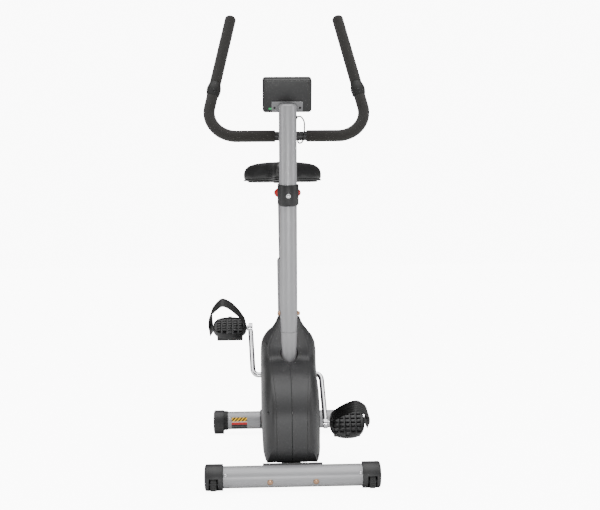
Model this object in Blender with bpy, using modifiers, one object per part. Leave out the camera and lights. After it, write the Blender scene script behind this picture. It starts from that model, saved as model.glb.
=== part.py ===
"""An upright exercise bike with magnetic resistance, as separate solids in metres.

+Z is up, the bike faces -Y, and X is left to right as seen from its front. The origin is
on the floor, midway between the two floor tubes.
"""
import math

import bmesh
import bpy
from mathutils import Matrix, Vector

# ---- facets round a turn: large, middling and small pieces
LARGE = 32
MEDIUM = 20
TUBE = 24
SMALL = 14
TINY = 10

# ---- running clearances
GAP = 0.0003            # between touching pieces
SLACK = 0.0006          # round moving pieces

# ---- floor tubes
TUBE_SPACING = 0.80     # front floor tube to rear floor tube
FLOOR_TUBE_R = 0.030
FLOOR_TUBE_WALL = 0.002
FLOOR_WIDTH = 0.480     # over the end caps
FRONT_CAP_R = 0.036
FRONT_CAP_LENGTH = 0.051
CAP_FLAT = 0.0005       # depth of the flat under each foot
PLUG_LENGTH = 0.030
WHEEL_R = 0.019
WHEEL_WIDTH = 0.016
WHEEL_SLOT = 0.025
WHEEL_PIN_R = 0.003
WHEEL_INSET = 0.0255    # wheel centre from the cap's outer end
FOOT_R = 0.0403
FOOT_WIDTH = 0.036
FOOT_OFFSET = 0.005     # eccentricity that levels the bike
REAR_COLLAR_R = 0.033
REAR_COLLAR_LENGTH = 0.013
SPIGOT_R = 0.026

# ---- base beam and its saddle brackets
BEAM_WIDTH = 0.050
BEAM_HEIGHT = 0.040
BEAM_Z = 0.044
BEAM_WALL = 0.002
SADDLE_BRACKET_WIDTH = 0.162
SADDLE_BRACKET_WALL = 0.005
BOLT_SPACING = 0.124
BOLT_SLOPE = math.radians(20)
BOLT_R = 0.004
BOLT_HEAD_R = 0.008

# ---- handlebar post and its stub
POST_R = 0.025
POST_WALL = 0.0019
POST_LEAN = math.radians(8)
SEAM_Y = -0.200
SEAM_Z = 0.410
POST_LENGTH = 0.649
INSERT_LENGTH = 0.090
POST_BOLT_AT = 0.052

# ---- crank, pedals and seat tube
CRANK_Z = 0.256
CRANK_ROD_R = 0.008
CRANK_ARM = 0.165
CRANK_ANGLE = math.radians(35)
CRANK_OUTSIDE = 0.008    # shroud side to the bend of the rod
ARM_OFFSET = 0.022       # bend of the rod to the pedal eye, sideways
EYE_R = 0.015
EYE_WIDTH = 0.013
SHELL_R = 0.022
SHELL_HALF = 0.026
CUP_WIDTH = 0.004
PEDAL_WIDTH = 0.104
PEDAL_LENGTH = 0.098
TREAD_TOP = 0.010       # over the pedal axle
TREAD_THICKNESS = 0.018
PEDAL_BLOCK = 0.020
PEDAL_AXLE_R = 0.006
PEDAL_CLEAR = 0.006     # eye to pedal body
PEDAL_PITCH_LEFT = math.radians(28)
PEDAL_PITCH_RIGHT = math.radians(52)
STRAP_WIDTH = 0.034
STRAP_THICKNESS = 0.003
STRAP_HEIGHT = 0.090
STRAP_BACK = 0.008      # strap centre behind the axle
SEAT_TUBE_R = 0.025
SEAT_TUBE_LENGTH = 0.360
SEAT_LEAN = math.radians(16.2)
SEAT_POST_R = 0.019
SEAT_POST_WALL = 0.002
SEAT_BUSH_R = 0.0225
SEAT_POST_LENGTH = 0.385
SEAT_POST_INSERTION = 0.128
SADDLE_LENGTH = 0.270
SADDLE_WIDTH = 0.262
SADDLE_NOSE = 0.072

# ---- drive
DRIVE_PULLEY_R = 0.110
PULLEY_INNER_X = 0.030
PULLEY_WIDTH = 0.016
FLYWHEEL_Y = -0.295
FLYWHEEL_Z = 0.190
FLYWHEEL_R = 0.092
FLYWHEEL_FROM_X = -0.026
FLYWHEEL_TO_X = 0.012
SMALL_PULLEY_R = 0.020
AXLE_R = 0.006
CRADLE_WALL = 0.004
BELT_WIDTH = 0.012
BELT_THICKNESS = 0.003

# ---- shroud
SHROUD_HALF_WIDTH = 0.080
SHROUD_WALL = 0.0025
SHROUD_BOTTOM = 0.0665
NOTCH_Z = 0.322         # lowest point of the notch in front of the post

# ---- handlebar
BAR_R = 0.0127
BAR_WALL = 0.0018
FOAM_R = 0.0165
BAR_Z = 0.967
BAR_CORNER_R = 0.078
BAR_HALF_WIDTH = 0.221
BAR_ARM_HEIGHT = 0.393
BAR_SWEEP = math.radians(25)
BAR_INWARD = math.radians(11.4)
SENSOR_FROM = 0.318
SENSOR_TO = 0.362
SENSOR_R = 0.0208
CLAMP_WIDTH = 0.044
CLAMP_WALL = 0.004

# ---- tension collar, knob and console
COLLAR_R = 0.030
COLLAR_HEIGHT = 0.060
COLLAR_AT = 0.394       # centre, up the post from the seam
KNOB_R = 0.0385
KNOB_DEPTH = 0.020
CONSOLE_WIDTH = 0.138
CONSOLE_HEIGHT = 0.096
CONSOLE_DEPTH = 0.034
CONSOLE_TILT = math.radians(20)
CONSOLE_RADIUS = 0.010
BUTTON_R = 0.0055

LEFT, RIGHT = -1, 1
SIDES = {"left": LEFT, "right": RIGHT}

# ---- places worked out from the sizes above
FRONT_Y = -TUBE_SPACING / 2
REAR_Y = TUBE_SPACING / 2
FRONT_Z = FRONT_CAP_R - CAP_FLAT
REAR_Z = FOOT_R - 0.0003 + FOOT_OFFSET
BEAM_TOP = BEAM_Z + BEAM_HEIGHT / 2
SEAM = Vector((0, SEAM_Y, SEAM_Z))
UP_POST = Vector((0, -math.sin(POST_LEAN), math.cos(POST_LEAN)))
BACK_OF_POST = Vector((0, math.cos(POST_LEAN), math.sin(POST_LEAN)))
CRANK = Vector((0, 0, CRANK_Z))
CRANK_EXIT = SHROUD_HALF_WIDTH + CRANK_OUTSIDE
PEDAL_EYE_X = CRANK_EXIT + ARM_OFFSET
UP_SEAT = Vector((0, math.sin(SEAT_LEAN), math.cos(SEAT_LEAN)))
FLYWHEEL = Vector((0, FLYWHEEL_Y, FLYWHEEL_Z))
X_AXIS = Vector((1, 0, 0))
BELT_X = PULLEY_INNER_X + PULLEY_WIDTH / 2

for old in list(bpy.data.objects):
    bpy.data.objects.remove(old, do_unlink=True)
PARTS = bpy.data.collections.new("exercise_bike")
CUTTERS = bpy.data.collections.new("cutters")
bpy.context.scene.collection.children.link(PARTS)
bpy.context.scene.collection.children.link(CUTTERS)


# ---- modelling helpers

def material(name, colour, roughness, metallic=0.0):
    """A Principled material, shared by the pieces that are made of it."""
    made = bpy.data.materials.get(name)
    if made is None:
        made = bpy.data.materials.new(name)
        made.use_nodes = True
        shader = made.node_tree.nodes["Principled BSDF"]
        shader.inputs["Base Color"].default_value = (*colour, 1)
        shader.inputs["Roughness"].default_value = roughness
        shader.inputs["Metallic"].default_value = metallic
    return made


def grey_paint():
    return material("grey_paint", (0.30, 0.30, 0.31), 0.4)


def black_steel():
    return material("black_steel", (0.03, 0.03, 0.03), 0.5)


def zinc():
    return material("zinc", (0.60, 0.54, 0.48), 0.35, 1.0)


def black_plastic():
    return material("black_plastic", (0.05, 0.05, 0.052), 0.45)


def add(name, mesh, finish, matrix=None, smooth=True):
    """A named piece in the parts collection."""
    piece = bpy.data.objects.new(name, mesh)
    PARTS.objects.link(piece)
    if matrix is not None:
        piece.matrix_world = matrix
    mesh.materials.clear()
    mesh.materials.append(finish)
    if smooth:
        mesh.shade_smooth()
        mesh.set_sharp_from_angle(angle=math.radians(35))
    return piece


def aim(place, direction):
    """A matrix at a place whose Z axis points along a direction, with X kept level."""
    up = Vector(direction).normalized()
    side = X_AXIS if abs(up.x) < 0.9 else Vector((0, 1, 0))
    across = (side - up * side.dot(up)).normalized()
    turn = Matrix((across, up.cross(across), up)).transposed().to_4x4()
    return Matrix.Translation(Vector(place)) @ turn


def settle(piece):
    """Replace a piece's mesh by its evaluated mesh, with the modifiers worked in."""
    bpy.context.view_layer.update()
    graph = bpy.context.evaluated_depsgraph_get()
    mesh = bpy.data.meshes.new_from_object(piece.evaluated_get(graph))
    piece.modifiers.clear()
    piece.data = mesh
    return piece


def cylinder(name, radius, start, end, finish, sides=SMALL):
    """A round bar between two points."""
    start, end = Vector(start), Vector(end)
    work = bmesh.new()
    bmesh.ops.create_cone(work, cap_ends=True, segments=sides, radius1=radius, radius2=radius,
                          depth=(end - start).length)
    mesh = bpy.data.meshes.new(name)
    work.to_mesh(mesh)
    work.free()
    return add(name, mesh, finish, aim((start + end) / 2, end - start))


def box(name, size, matrix, finish, bevel=0.0, segments=2):
    """A block, with its edges rounded by a Bevel where a radius is given."""
    work = bmesh.new()
    bmesh.ops.create_cube(work, size=1.0)
    bmesh.ops.scale(work, vec=Vector(size), verts=work.verts)
    mesh = bpy.data.meshes.new(name)
    work.to_mesh(mesh)
    work.free()
    piece = add(name, mesh, finish, matrix)
    if bevel:
        rounding = piece.modifiers.new("edges", "BEVEL")
        rounding.width = bevel
        rounding.segments = segments
    return piece


def turned(name, profile, place, direction, finish, steps=SMALL, ring=False):
    """A turned piece; the profile is (along, radius) pairs from its far end back."""
    work = bmesh.new()
    points = [work.verts.new((radius, 0, along)) for along, radius in profile]
    for first, second in zip(points, points[1:]):
        work.edges.new((first, second))
    if ring:
        work.edges.new((points[-1], points[0]))
    mesh = bpy.data.meshes.new(name)
    work.to_mesh(mesh)
    work.free()
    piece = add(name, mesh, finish, aim(place, direction), smooth=False)
    screw = piece.modifiers.new("turning", "SCREW")
    screw.steps = steps
    screw.render_steps = steps
    screw.use_merge_vertices = True
    screw.merge_threshold = 0.00005
    screw.use_smooth_shade = False
    settle(piece)
    piece.data.shade_smooth()
    piece.data.set_sharp_from_angle(angle=math.radians(35))
    return piece


def rod(name, points, radius, finish, resolution=4, caps=True):
    """A bent rod or tube along a path, as one closed mesh."""
    curve = bpy.data.curves.new(name, "CURVE")
    curve.dimensions = "3D"
    curve.bevel_depth = radius
    curve.bevel_resolution = resolution
    curve.use_fill_caps = caps
    spline = curve.splines.new("POLY")
    spline.points.add(len(points) - 1)
    for knot, point in zip(spline.points, points):
        knot.co = (*point, 1)
    guide = bpy.data.objects.new(name + "_path", curve)
    CUTTERS.objects.link(guide)
    bpy.context.view_layer.update()
    graph = bpy.context.evaluated_depsgraph_get()
    mesh = bpy.data.meshes.new_from_object(guide.evaluated_get(graph))
    bpy.data.objects.remove(guide, do_unlink=True)
    work = bmesh.new()
    work.from_mesh(mesh)
    bmesh.ops.remove_doubles(work, verts=work.verts, dist=0.00001)
    work.to_mesh(mesh)
    work.free()
    return add(name, mesh, finish)


def sleeve(name, points, radius, wall, finish, resolution=4):
    """A hollow sleeve along a path: an open surface given a wall inwards."""
    piece = rod(name, points, radius, finish, resolution, caps=False)
    solid = piece.modifiers.new("wall", "SOLIDIFY")
    solid.thickness = wall
    solid.offset = -1
    return settle(piece)


def extruded(name, outline, thickness, matrix, finish):
    """A flat outline in X and Y, thickened equally both ways along Z."""
    curve = bpy.data.curves.new(name, "CURVE")
    curve.dimensions = "2D"
    curve.fill_mode = "BOTH"
    curve.extrude = thickness / 2
    spline = curve.splines.new("POLY")
    spline.use_cyclic_u = True
    spline.points.add(len(outline) - 1)
    for knot, (x, y) in zip(spline.points, outline):
        knot.co = (x, y, 0, 1)
    guide = bpy.data.objects.new(name + "_outline", curve)
    CUTTERS.objects.link(guide)
    bpy.context.view_layer.update()
    graph = bpy.context.evaluated_depsgraph_get()
    mesh = bpy.data.meshes.new_from_object(guide.evaluated_get(graph))
    bpy.data.objects.remove(guide, do_unlink=True)
    work = bmesh.new()
    work.from_mesh(mesh)
    bmesh.ops.remove_doubles(work, verts=work.verts, dist=0.00001)
    bmesh.ops.recalc_face_normals(work, faces=work.faces)
    work.to_mesh(mesh)
    work.free()
    return add(name, mesh, finish, matrix)


def cut(piece, cutter):
    """Subtract a cutter, which stays in its own collection as a guide."""
    if cutter.name in PARTS.objects:
        PARTS.objects.unlink(cutter)
        CUTTERS.objects.link(cutter)
    cutter.hide_render = True
    cutter.display_type = "WIRE"
    change = piece.modifiers.new("cut", "BOOLEAN")
    change.operation = "DIFFERENCE"
    change.object = cutter
    return piece


def weld(piece, *others):
    """Join other solids to a piece, as a weld or one moulding does."""
    for other in others:
        change = piece.modifiers.new("weld", "BOOLEAN")
        change.operation = "UNION"
        change.object = other
        settle(piece)
        bpy.data.objects.remove(other, do_unlink=True)
    return piece


def arc(centre, radius, start, end, count):
    """Points on an arc in a plane, both ends included."""
    step = (end - start) / (count - 1)
    turns = [start + step * index for index in range(count)]
    return [(centre[0] + radius * math.cos(turn), centre[1] + radius * math.sin(turn)) for turn in turns]


def smooth_curve(points, steps, closed=False):
    """A Catmull-Rom curve through the points, with a number of steps between each two."""
    knots = [Vector(point) for point in points]
    spans = len(knots) if closed else len(knots) - 1
    made = []
    for index in range(spans):
        if closed:
            four = [knots[(index + shift) % len(knots)] for shift in (-1, 0, 1, 2)]
        else:
            four = [knots[min(max(index + shift, 0), len(knots) - 1)] for shift in (-1, 0, 1, 2)]
        before, start, end, after = four
        for step in range(steps):
            t = step / steps
            made.append(0.5 * (2 * start + (end - before) * t
                               + (2 * before - 5 * start + 4 * end - after) * t * t
                               + (3 * start - before - 3 * end + after) * t ** 3))
    if not closed:
        made.append(knots[-1])
    return made


YZ_PLANE = Matrix(((0, 0, 1, 0), (1, 0, 0, 0), (0, 1, 0, 0), (0, 0, 0, 1)))


# ---- floor tubes, caps, wheels and levelling feet

def stabilizer(name, y, z, half):
    """A floor tube across the bike, drilled for its two frame bolts."""
    inner = FLOOR_TUBE_R - FLOOR_TUBE_WALL
    profile = [(half, inner), (half, FLOOR_TUBE_R), (-half, FLOOR_TUBE_R), (-half, inner)]
    tube = turned(name, profile, (0, y, z), X_AXIS, grey_paint(), TUBE, ring=True)
    return tube


def bolt_line(y, z, side, facing):
    """The centre and outward direction of a frame bolt through a floor tube."""
    centre = Vector((side * BOLT_SPACING / 2, y, z))
    head_way = Vector((0, facing * math.cos(BOLT_SLOPE), -math.sin(BOLT_SLOPE)))
    return centre, head_way


def frame_bolt(name, y, z, side, facing):
    """A domed carriage bolt from the outside of a floor tube, with its nut behind the bracket."""
    centre, way = bolt_line(y, z, side, facing)
    under = FLOOR_TUBE_R + GAP
    behind = -(FLOOR_TUBE_R + SADDLE_BRACKET_WALL + 3 * GAP)
    profile = [(under + 0.0040, 0), (under + 0.0035, 0.0040), (under + 0.0020, 0.0066),
               (under, BOLT_HEAD_R), (under, BOLT_R), (behind, BOLT_R), (behind, 0.0070),
               (behind - 0.0070, 0.0070), (behind - 0.0070, 0)]
    turned(name, profile, centre, way, zinc(), TINY)


def drill_for_bolts(piece, y, z, facing):
    for side in (LEFT, RIGHT):
        centre, way = bolt_line(y, z, side, facing)
        reach = way * (FLOOR_TUBE_R + 0.012)
        cut(piece, cylinder("bolt_hole", BOLT_R + SLACK, centre - reach, centre + reach,
                            black_steel(), TINY))


def front_cap(side_name, side):
    """A moulded end cap with a slot and a pin for its transport wheel."""
    end = FLOOR_WIDTH / 2
    seat = end - FRONT_CAP_LENGTH
    plug = FLOOR_TUBE_R - FLOOR_TUBE_WALL - GAP
    profile = [(end, 0), (end - 0.0006, 0.024), (end - 0.0025, 0.033), (end - 0.0055, FRONT_CAP_R),
               (seat, FRONT_CAP_R), (seat, plug), (seat - PLUG_LENGTH, plug), (seat - PLUG_LENGTH, 0)]
    place = Vector((0, FRONT_Y, FRONT_Z))
    cap = turned("front_cap_" + side_name, profile, place, X_AXIS * side, black_plastic(), TUBE)
    hub = wheel_centre(side)
    half = X_AXIS * WHEEL_SLOT / 2
    cut(cap, cylinder("wheel_slot", WHEEL_R + 0.0035, hub - half, hub + half, black_plastic(), MEDIUM))
    settle(cap)
    reach = X_AXIS * (WHEEL_SLOT / 2 + 0.003)
    weld(cap, cylinder("pin", WHEEL_PIN_R, hub - reach, hub + reach, black_plastic(), TINY))
    floor = Matrix.Translation((place.x + side * end, FRONT_Y, -0.02))
    cut(cap, box("floor_cut", (0.3, 0.1, 0.04), floor, black_plastic()))


def wheel_centre(side):
    return Vector((side * (FLOOR_WIDTH / 2 - WHEEL_INSET), FRONT_Y - 0.021, WHEEL_R + 0.0025))


def transport_wheel(side_name, side):
    half = WHEEL_WIDTH / 2
    bore = WHEEL_PIN_R + GAP
    profile = [(half, bore), (half, WHEEL_R - 0.0015), (half - 0.0015, WHEEL_R),
               (0.0015 - half, WHEEL_R), (-half, WHEEL_R - 0.0015), (-half, bore)]
    finish = material("wheel_rubber", (0.04, 0.04, 0.04), 0.7)
    turned("transport_wheel_" + side_name, profile, wheel_centre(side), X_AXIS, finish, SMALL, ring=True)


def rear_cap(side_name, side):
    """A collar plugged into the rear tube, with the spigot that the levelling foot turns on."""
    outer = FLOOR_WIDTH / 2
    collar_end = outer - FOOT_WIDTH
    seat = collar_end - REAR_COLLAR_LENGTH
    plug = FLOOR_TUBE_R - FLOOR_TUBE_WALL - GAP
    tip = outer - 0.006
    profile = [(tip, 0), (tip, SPIGOT_R), (collar_end, SPIGOT_R), (collar_end, REAR_COLLAR_R),
               (seat, REAR_COLLAR_R), (seat, plug), (seat - PLUG_LENGTH, plug), (seat - PLUG_LENGTH, 0)]
    turned("rear_cap_" + side_name, profile, (0, REAR_Y, REAR_Z), X_AXIS * side, black_plastic(), TUBE)


def leveling_foot(side_name, side):
    """An eccentric ring that is turned to level the bike, with its origin on the tube's axis."""
    outer = FLOOR_WIDTH / 2
    inner = outer - FOOT_WIDTH + GAP
    rim = [(outer - inner, 0), (outer - inner - 0.0005, 0.030), (outer - inner - 0.004, FOOT_R),
           (0.0015, FOOT_R), (0, FOOT_R - 0.0015), (0, 0)]
    centre = Vector((side * inner, REAR_Y, REAR_Z - FOOT_OFFSET))
    foot = turned("leveling_foot_" + side_name, rim, centre, X_AXIS * side, black_plastic(), LARGE)
    axis = Vector((0, REAR_Y, REAR_Z))
    start = axis + X_AXIS * side * (inner - 0.01)
    end = axis + X_AXIS * side * (outer - 0.0055)
    cut(foot, cylinder("foot_bore", SPIGOT_R + SLACK, start, end, black_plastic(), MEDIUM))
    cut(foot, box("floor_cut", (0.1, 0.1, 0.04), Matrix.Translation((side * outer, REAR_Y, -0.02)),
                  black_plastic()))
    return foot


def floor_group():
    front = stabilizer("front_stabilizer", FRONT_Y, FRONT_Z, FLOOR_WIDTH / 2 - FRONT_CAP_LENGTH - GAP)
    drill_for_bolts(front, FRONT_Y, FRONT_Z, -1)
    half = FLOOR_WIDTH / 2 - FOOT_WIDTH - REAR_COLLAR_LENGTH - GAP
    rear = stabilizer("rear_stabilizer", REAR_Y, REAR_Z, half)
    drill_for_bolts(rear, REAR_Y, REAR_Z, 1)
    for side_name, side in SIDES.items():
        front_cap(side_name, side)
        transport_wheel(side_name, side)
        rear_cap(side_name, side)
        leveling_foot(side_name, side)
        frame_bolt("front_bolt_" + side_name, FRONT_Y, FRONT_Z, side, -1)
        frame_bolt("rear_bolt_" + side_name, REAR_Y, REAR_Z, side, 1)


# ---- welded base beam, stub and seat tube

def saddle_bracket(y, z, facing):
    """A curved plate that cradles a floor tube on the frame's side."""
    inner = FLOOR_TUBE_R + GAP
    outer = inner + SADDLE_BRACKET_WALL
    low, high = math.radians(-35), math.radians(88)
    if facing > 0:
        low, high = math.pi - high, math.pi - low
    outline = arc((0, 0), outer, low, high, 10) + arc((0, 0), inner, high, low, 10)
    matrix = Matrix.Translation((0, y, z)) @ YZ_PLANE
    return extruded("bracket", outline, SADDLE_BRACKET_WIDTH, matrix, black_steel())


def main_beam():
    """The base beam with a saddle bracket welded to each end."""
    beam = box("main_beam", (BEAM_WIDTH, TUBE_SPACING, BEAM_HEIGHT), Matrix.Translation((0, 0, BEAM_Z)),
               black_steel(), 0.004)
    settle(beam)
    hollow = (BEAM_WIDTH - 2 * BEAM_WALL, TUBE_SPACING - 0.110, BEAM_HEIGHT - 2 * BEAM_WALL)
    for y, z in ((FRONT_Y, FRONT_Z), (REAR_Y, REAR_Z)):
        reach = X_AXIS * (BEAM_WIDTH / 2 + 0.01)
        centre = Vector((0, y, z))
        mouth = FLOOR_TUBE_R + GAP + SADDLE_BRACKET_WALL / 2
        cut(beam, cylinder("cope", mouth, centre - reach, centre + reach, black_steel(), MEDIUM))
    settle(beam)
    weld(beam, saddle_bracket(FRONT_Y, FRONT_Z, -1), saddle_bracket(REAR_Y, REAR_Z, 1))
    drill_for_bolts(beam, FRONT_Y, FRONT_Z, -1)
    drill_for_bolts(beam, REAR_Y, REAR_Z, 1)
    cut(beam, box("beam_hollow", hollow, Matrix.Translation((0, 0, BEAM_Z)), black_steel()))
    drain = Vector((0, REAR_Y - 0.120, BEAM_Z))
    below = drain - Vector((0, 0, BEAM_HEIGHT))
    cut(beam, cylinder("drain_hole", 0.004, drain, below, black_steel(), TINY))


def on_beam(piece):
    """Trim a piece to stand on the base beam."""
    trim = Matrix.Translation((0, 0, BEAM_TOP + GAP - 0.05))
    cut(piece, box("beam_trim", (0.2, 1.0, 0.1), trim, black_steel()))


def post_stub():
    """The welded lower tube, reduced at its top to plug into the handlebar post."""
    reach = (SEAM_Z - BEAM_TOP) / math.cos(POST_LEAN) + 0.01
    plug = POST_R - POST_WALL - GAP
    bore = plug - POST_WALL
    profile = [(INSERT_LENGTH, bore), (INSERT_LENGTH, plug), (-GAP, plug), (-GAP, POST_R),
               (-reach, POST_R), (-reach, bore)]
    stub = turned("post_stub", profile, SEAM, UP_POST, grey_paint(), MEDIUM, ring=True)
    on_beam(stub)
    outlet = SEAM - UP_POST * 0.110
    way = BACK_OF_POST * -0.04
    cut(stub, cylinder("cable_outlet", 0.006, outlet, outlet + way, grey_paint(), TINY))
    for side in (LEFT, RIGHT):
        at = SEAM + UP_POST * POST_BOLT_AT
        cut(stub, cylinder("post_bolt_hole", 0.0046, at, at + X_AXIS * side * 0.04, zinc(), TINY))


def seat_tube():
    """The strut, bottom bracket shell and seat tube, welded into one piece."""
    foot = CRANK - UP_SEAT * (CRANK_Z / math.cos(SEAT_LEAN))
    top = CRANK + UP_SEAT * SEAT_TUBE_LENGTH
    tube = cylinder("seat_tube", SEAT_TUBE_R, foot, top, grey_paint(), MEDIUM)
    half = X_AXIS * SHELL_HALF
    weld(tube, cylinder("shell", SHELL_R, CRANK - half, CRANK + half, grey_paint(), MEDIUM))
    floor = CRANK + UP_SEAT * 0.080
    cut(tube, cylinder("seat_bore", SEAT_BUSH_R + GAP, floor, top + UP_SEAT * 0.01, grey_paint(), MEDIUM))
    cut(tube, cylinder("shell_bore", 0.0175, CRANK - half * 1.2, CRANK + half * 1.2, grey_paint(), MEDIUM))
    knob = seat_knob_place()
    cut(tube, cylinder("knob_hole", 0.0062, knob - seat_back() * 0.01, knob + seat_back() * 0.03,
                       grey_paint(), TINY))
    on_beam(tube)


def seat_back():
    """Square to the seat tube, pointing away from the rider's knees."""
    return Vector((0, math.cos(SEAT_LEAN), -math.sin(SEAT_LEAN)))


def seat_knob_place():
    return CRANK + UP_SEAT * (SEAT_TUBE_LENGTH - 0.045) + seat_back() * SEAT_TUBE_R


def post_and_bolts():
    """The handlebar post, a tube with a closed and rounded top."""
    inner = POST_R - POST_WALL
    profile = [(POST_LENGTH, 0), (POST_LENGTH, POST_R - 0.007), (POST_LENGTH - 0.002, POST_R - 0.002),
               (POST_LENGTH - 0.006, POST_R), (GAP, POST_R), (GAP, inner),
               (POST_LENGTH - 0.004, inner), (POST_LENGTH - 0.004, 0)]
    post = turned("handlebar_post", profile, SEAM, UP_POST, grey_paint(), MEDIUM)
    outlet = cable_outlet()
    cut(post, cylinder("cable_hole", 0.0045, outlet - X_AXIS * 0.02, outlet + X_AXIS * 0.02,
                       grey_paint(), TINY))
    knob = SEAM + UP_POST * COLLAR_AT
    cut(post, cylinder("knob_hole", 0.009, knob, knob + BACK_OF_POST * 0.04, grey_paint(), TINY))
    at = SEAM + UP_POST * POST_BOLT_AT
    for side_name, side in SIDES.items():
        cut(post, cylinder("post_bolt_hole", 0.0046, at, at + X_AXIS * side * 0.04, zinc(), TINY))
        profile = [(0.0075, 0), (0.0075, 0.0048), (0.0030, 0.0062), (0.0030, 0.0078), (GAP, 0.0078),
                   (GAP, BOLT_R), (-0.0060, BOLT_R), (-0.0060, 0)]
        turned("post_bolt_" + side_name, profile, at + X_AXIS * side * POST_R, X_AXIS * side, zinc(), TINY)


# ---- crank, bearings and pedals

def arm_way(side):
    """The direction of a crank arm: the left one points up and back, the right one down."""
    return Vector((0, math.sin(CRANK_ANGLE), math.cos(CRANK_ANGLE))) * -side


def pedal_eye(side):
    return Vector((side * PEDAL_EYE_X, 0, CRANK_Z)) + arm_way(side) * CRANK_ARM


def crank_path():
    """The one-piece crank's centre line, from one pedal eye to the other."""
    half = []
    bend_r = 0.022
    way = arm_way(RIGHT)
    bend = Vector((CRANK_EXIT, 0, CRANK_Z))
    half.append(bend)
    for turn in (22.5, 45, 67.5, 90):
        angle = math.radians(turn)
        half.append(bend + X_AXIS * bend_r * math.sin(angle) * 0.75 + way * bend_r * (1 - math.cos(angle)))
    half.append(pedal_eye(RIGHT) - way * (EYE_R - 0.003))
    other = [Vector((-point.x, -point.y, 2 * CRANK_Z - point.z)) for point in half]
    return list(reversed(other)) + half


def crank_group():
    chrome = material("chrome", (0.80, 0.80, 0.80), 0.12, 1.0)
    crank = rod("crank", crank_path(), CRANK_ROD_R, chrome, 3)
    crank.data.transform(Matrix.Translation(-CRANK))
    crank.matrix_world = Matrix.Translation(CRANK)
    for side_name, side in SIDES.items():
        eye = pedal_eye(side)
        half = X_AXIS * EYE_WIDTH / 2
        weld(crank, cylinder("eye", EYE_R, eye - half, eye + half, chrome, SMALL))
        cut(crank, cylinder("eye_bore", PEDAL_AXLE_R + GAP, eye - half * 2, eye + half * 2, chrome, SMALL))
        pedal_axle(side_name, side)
        bearing_cup(side_name, side)
    low, high = PULLEY_INNER_X, PULLEY_INNER_X + PULLEY_WIDTH
    bore = CRANK_ROD_R + GAP
    groove = DRIVE_PULLEY_R - 0.001
    web = 0.004
    profile = [(high, bore), (high, 0.030), (high - web, 0.032), (high - web, 0.090),
               (high, 0.094), (high, DRIVE_PULLEY_R), (high - 0.0015, groove), (low + 0.0015, groove),
               (low, DRIVE_PULLEY_R), (low, bore)]
    turned("drive_pulley", profile, CRANK, X_AXIS, black_plastic(), LARGE, ring=True)


def bearing_cup(side_name, side):
    """A flanged bearing cup in the end of the bottom bracket shell."""
    bore = CRANK_ROD_R + GAP
    inside = SHELL_HALF + GAP
    profile = [(inside + CUP_WIDTH - 0.001, bore), (inside + CUP_WIDTH - 0.001, 0.019), (inside, 0.020),
               (inside, 0.0172), (inside - 0.012, 0.0172), (inside - 0.012, bore)]
    turned("bearing_cup_" + side_name, profile, CRANK, X_AXIS * side, zinc(), MEDIUM, ring=True)


def pedal_axle(side_name, side):
    """A pedal axle screwed into the crank's eye, with a shoulder and a retained tip."""
    eye = pedal_eye(side)
    far = EYE_WIDTH / 2 + PEDAL_CLEAR + PEDAL_WIDTH - 0.012
    profile = [(far, 0), (far, 0.0045), (EYE_WIDTH / 2 + PEDAL_CLEAR, 0.0045),
               (EYE_WIDTH / 2 + PEDAL_CLEAR - 0.001, 0.0085), (EYE_WIDTH / 2 + GAP, 0.0085),
               (EYE_WIDTH / 2 + GAP, PEDAL_AXLE_R), (-EYE_WIDTH / 2, PEDAL_AXLE_R), (-EYE_WIDTH / 2, 0)]
    steel = material("axle_steel", (0.45, 0.45, 0.46), 0.3, 1.0)
    turned("pedal_axle_" + side_name, profile, eye, X_AXIS * side, steel, TINY)


def pedal_matrix(side):
    """The pedal's own frame: X outwards from the crank, Y to the heel, Z up from the tread."""
    pitch = PEDAL_PITCH_LEFT if side == LEFT else PEDAL_PITCH_RIGHT
    return Matrix.Translation(pedal_eye(side)) @ Matrix.Rotation(pitch, 4, "X")


def pedal_outline(side):
    """A tread with round toe and heel and slightly flattened sides."""
    centre = EYE_WIDTH / 2 + PEDAL_CLEAR + PEDAL_WIDTH / 2
    outline = []
    for index in range(28):
        turn = 2 * math.pi * index / 28
        across = math.copysign(abs(math.cos(turn)) ** 0.8, math.cos(turn)) * PEDAL_WIDTH / 2
        along = math.copysign(abs(math.sin(turn)) ** 0.8, math.sin(turn)) * PEDAL_LENGTH / 2
        outline.append((side * (centre + across), along))
    return outline


def pedal(side_name, side):
    """A moulded pedal: a round tread with raised bars over a narrower weighted block."""
    frame = pedal_matrix(side)
    finish = black_plastic()
    tread = frame @ Matrix.Translation((0, 0, TREAD_TOP - TREAD_THICKNESS / 2))
    body = extruded("pedal_" + side_name, pedal_outline(side), TREAD_THICKNESS, tread, finish)
    near = EYE_WIDTH / 2 + PEDAL_CLEAR
    middle = side * (near + PEDAL_WIDTH / 2)
    block_z = TREAD_TOP - TREAD_THICKNESS - PEDAL_BLOCK / 2 + 0.002
    block = frame @ Matrix.Translation((middle, -0.002, block_z))
    weld(body, box("block", (0.080, 0.064, PEDAL_BLOCK), block, finish))
    for row in range(4):
        x = middle + (row - 1.5) * 0.020
        place = frame @ Matrix.Translation((x, 0, TREAD_TOP + 0.001))
        weld(body, box("bar", (0.009, 0.062, 0.006), place, finish))
    end = frame @ Vector((side * (near + PEDAL_WIDTH - 0.010), 0, 0))
    start = frame @ Vector((side * (near - 0.01), 0, 0))
    cut(body, cylinder("pedal_bore", 0.0045 + GAP, start, end, finish, TINY))
    toe_strap(side_name, side)


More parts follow.
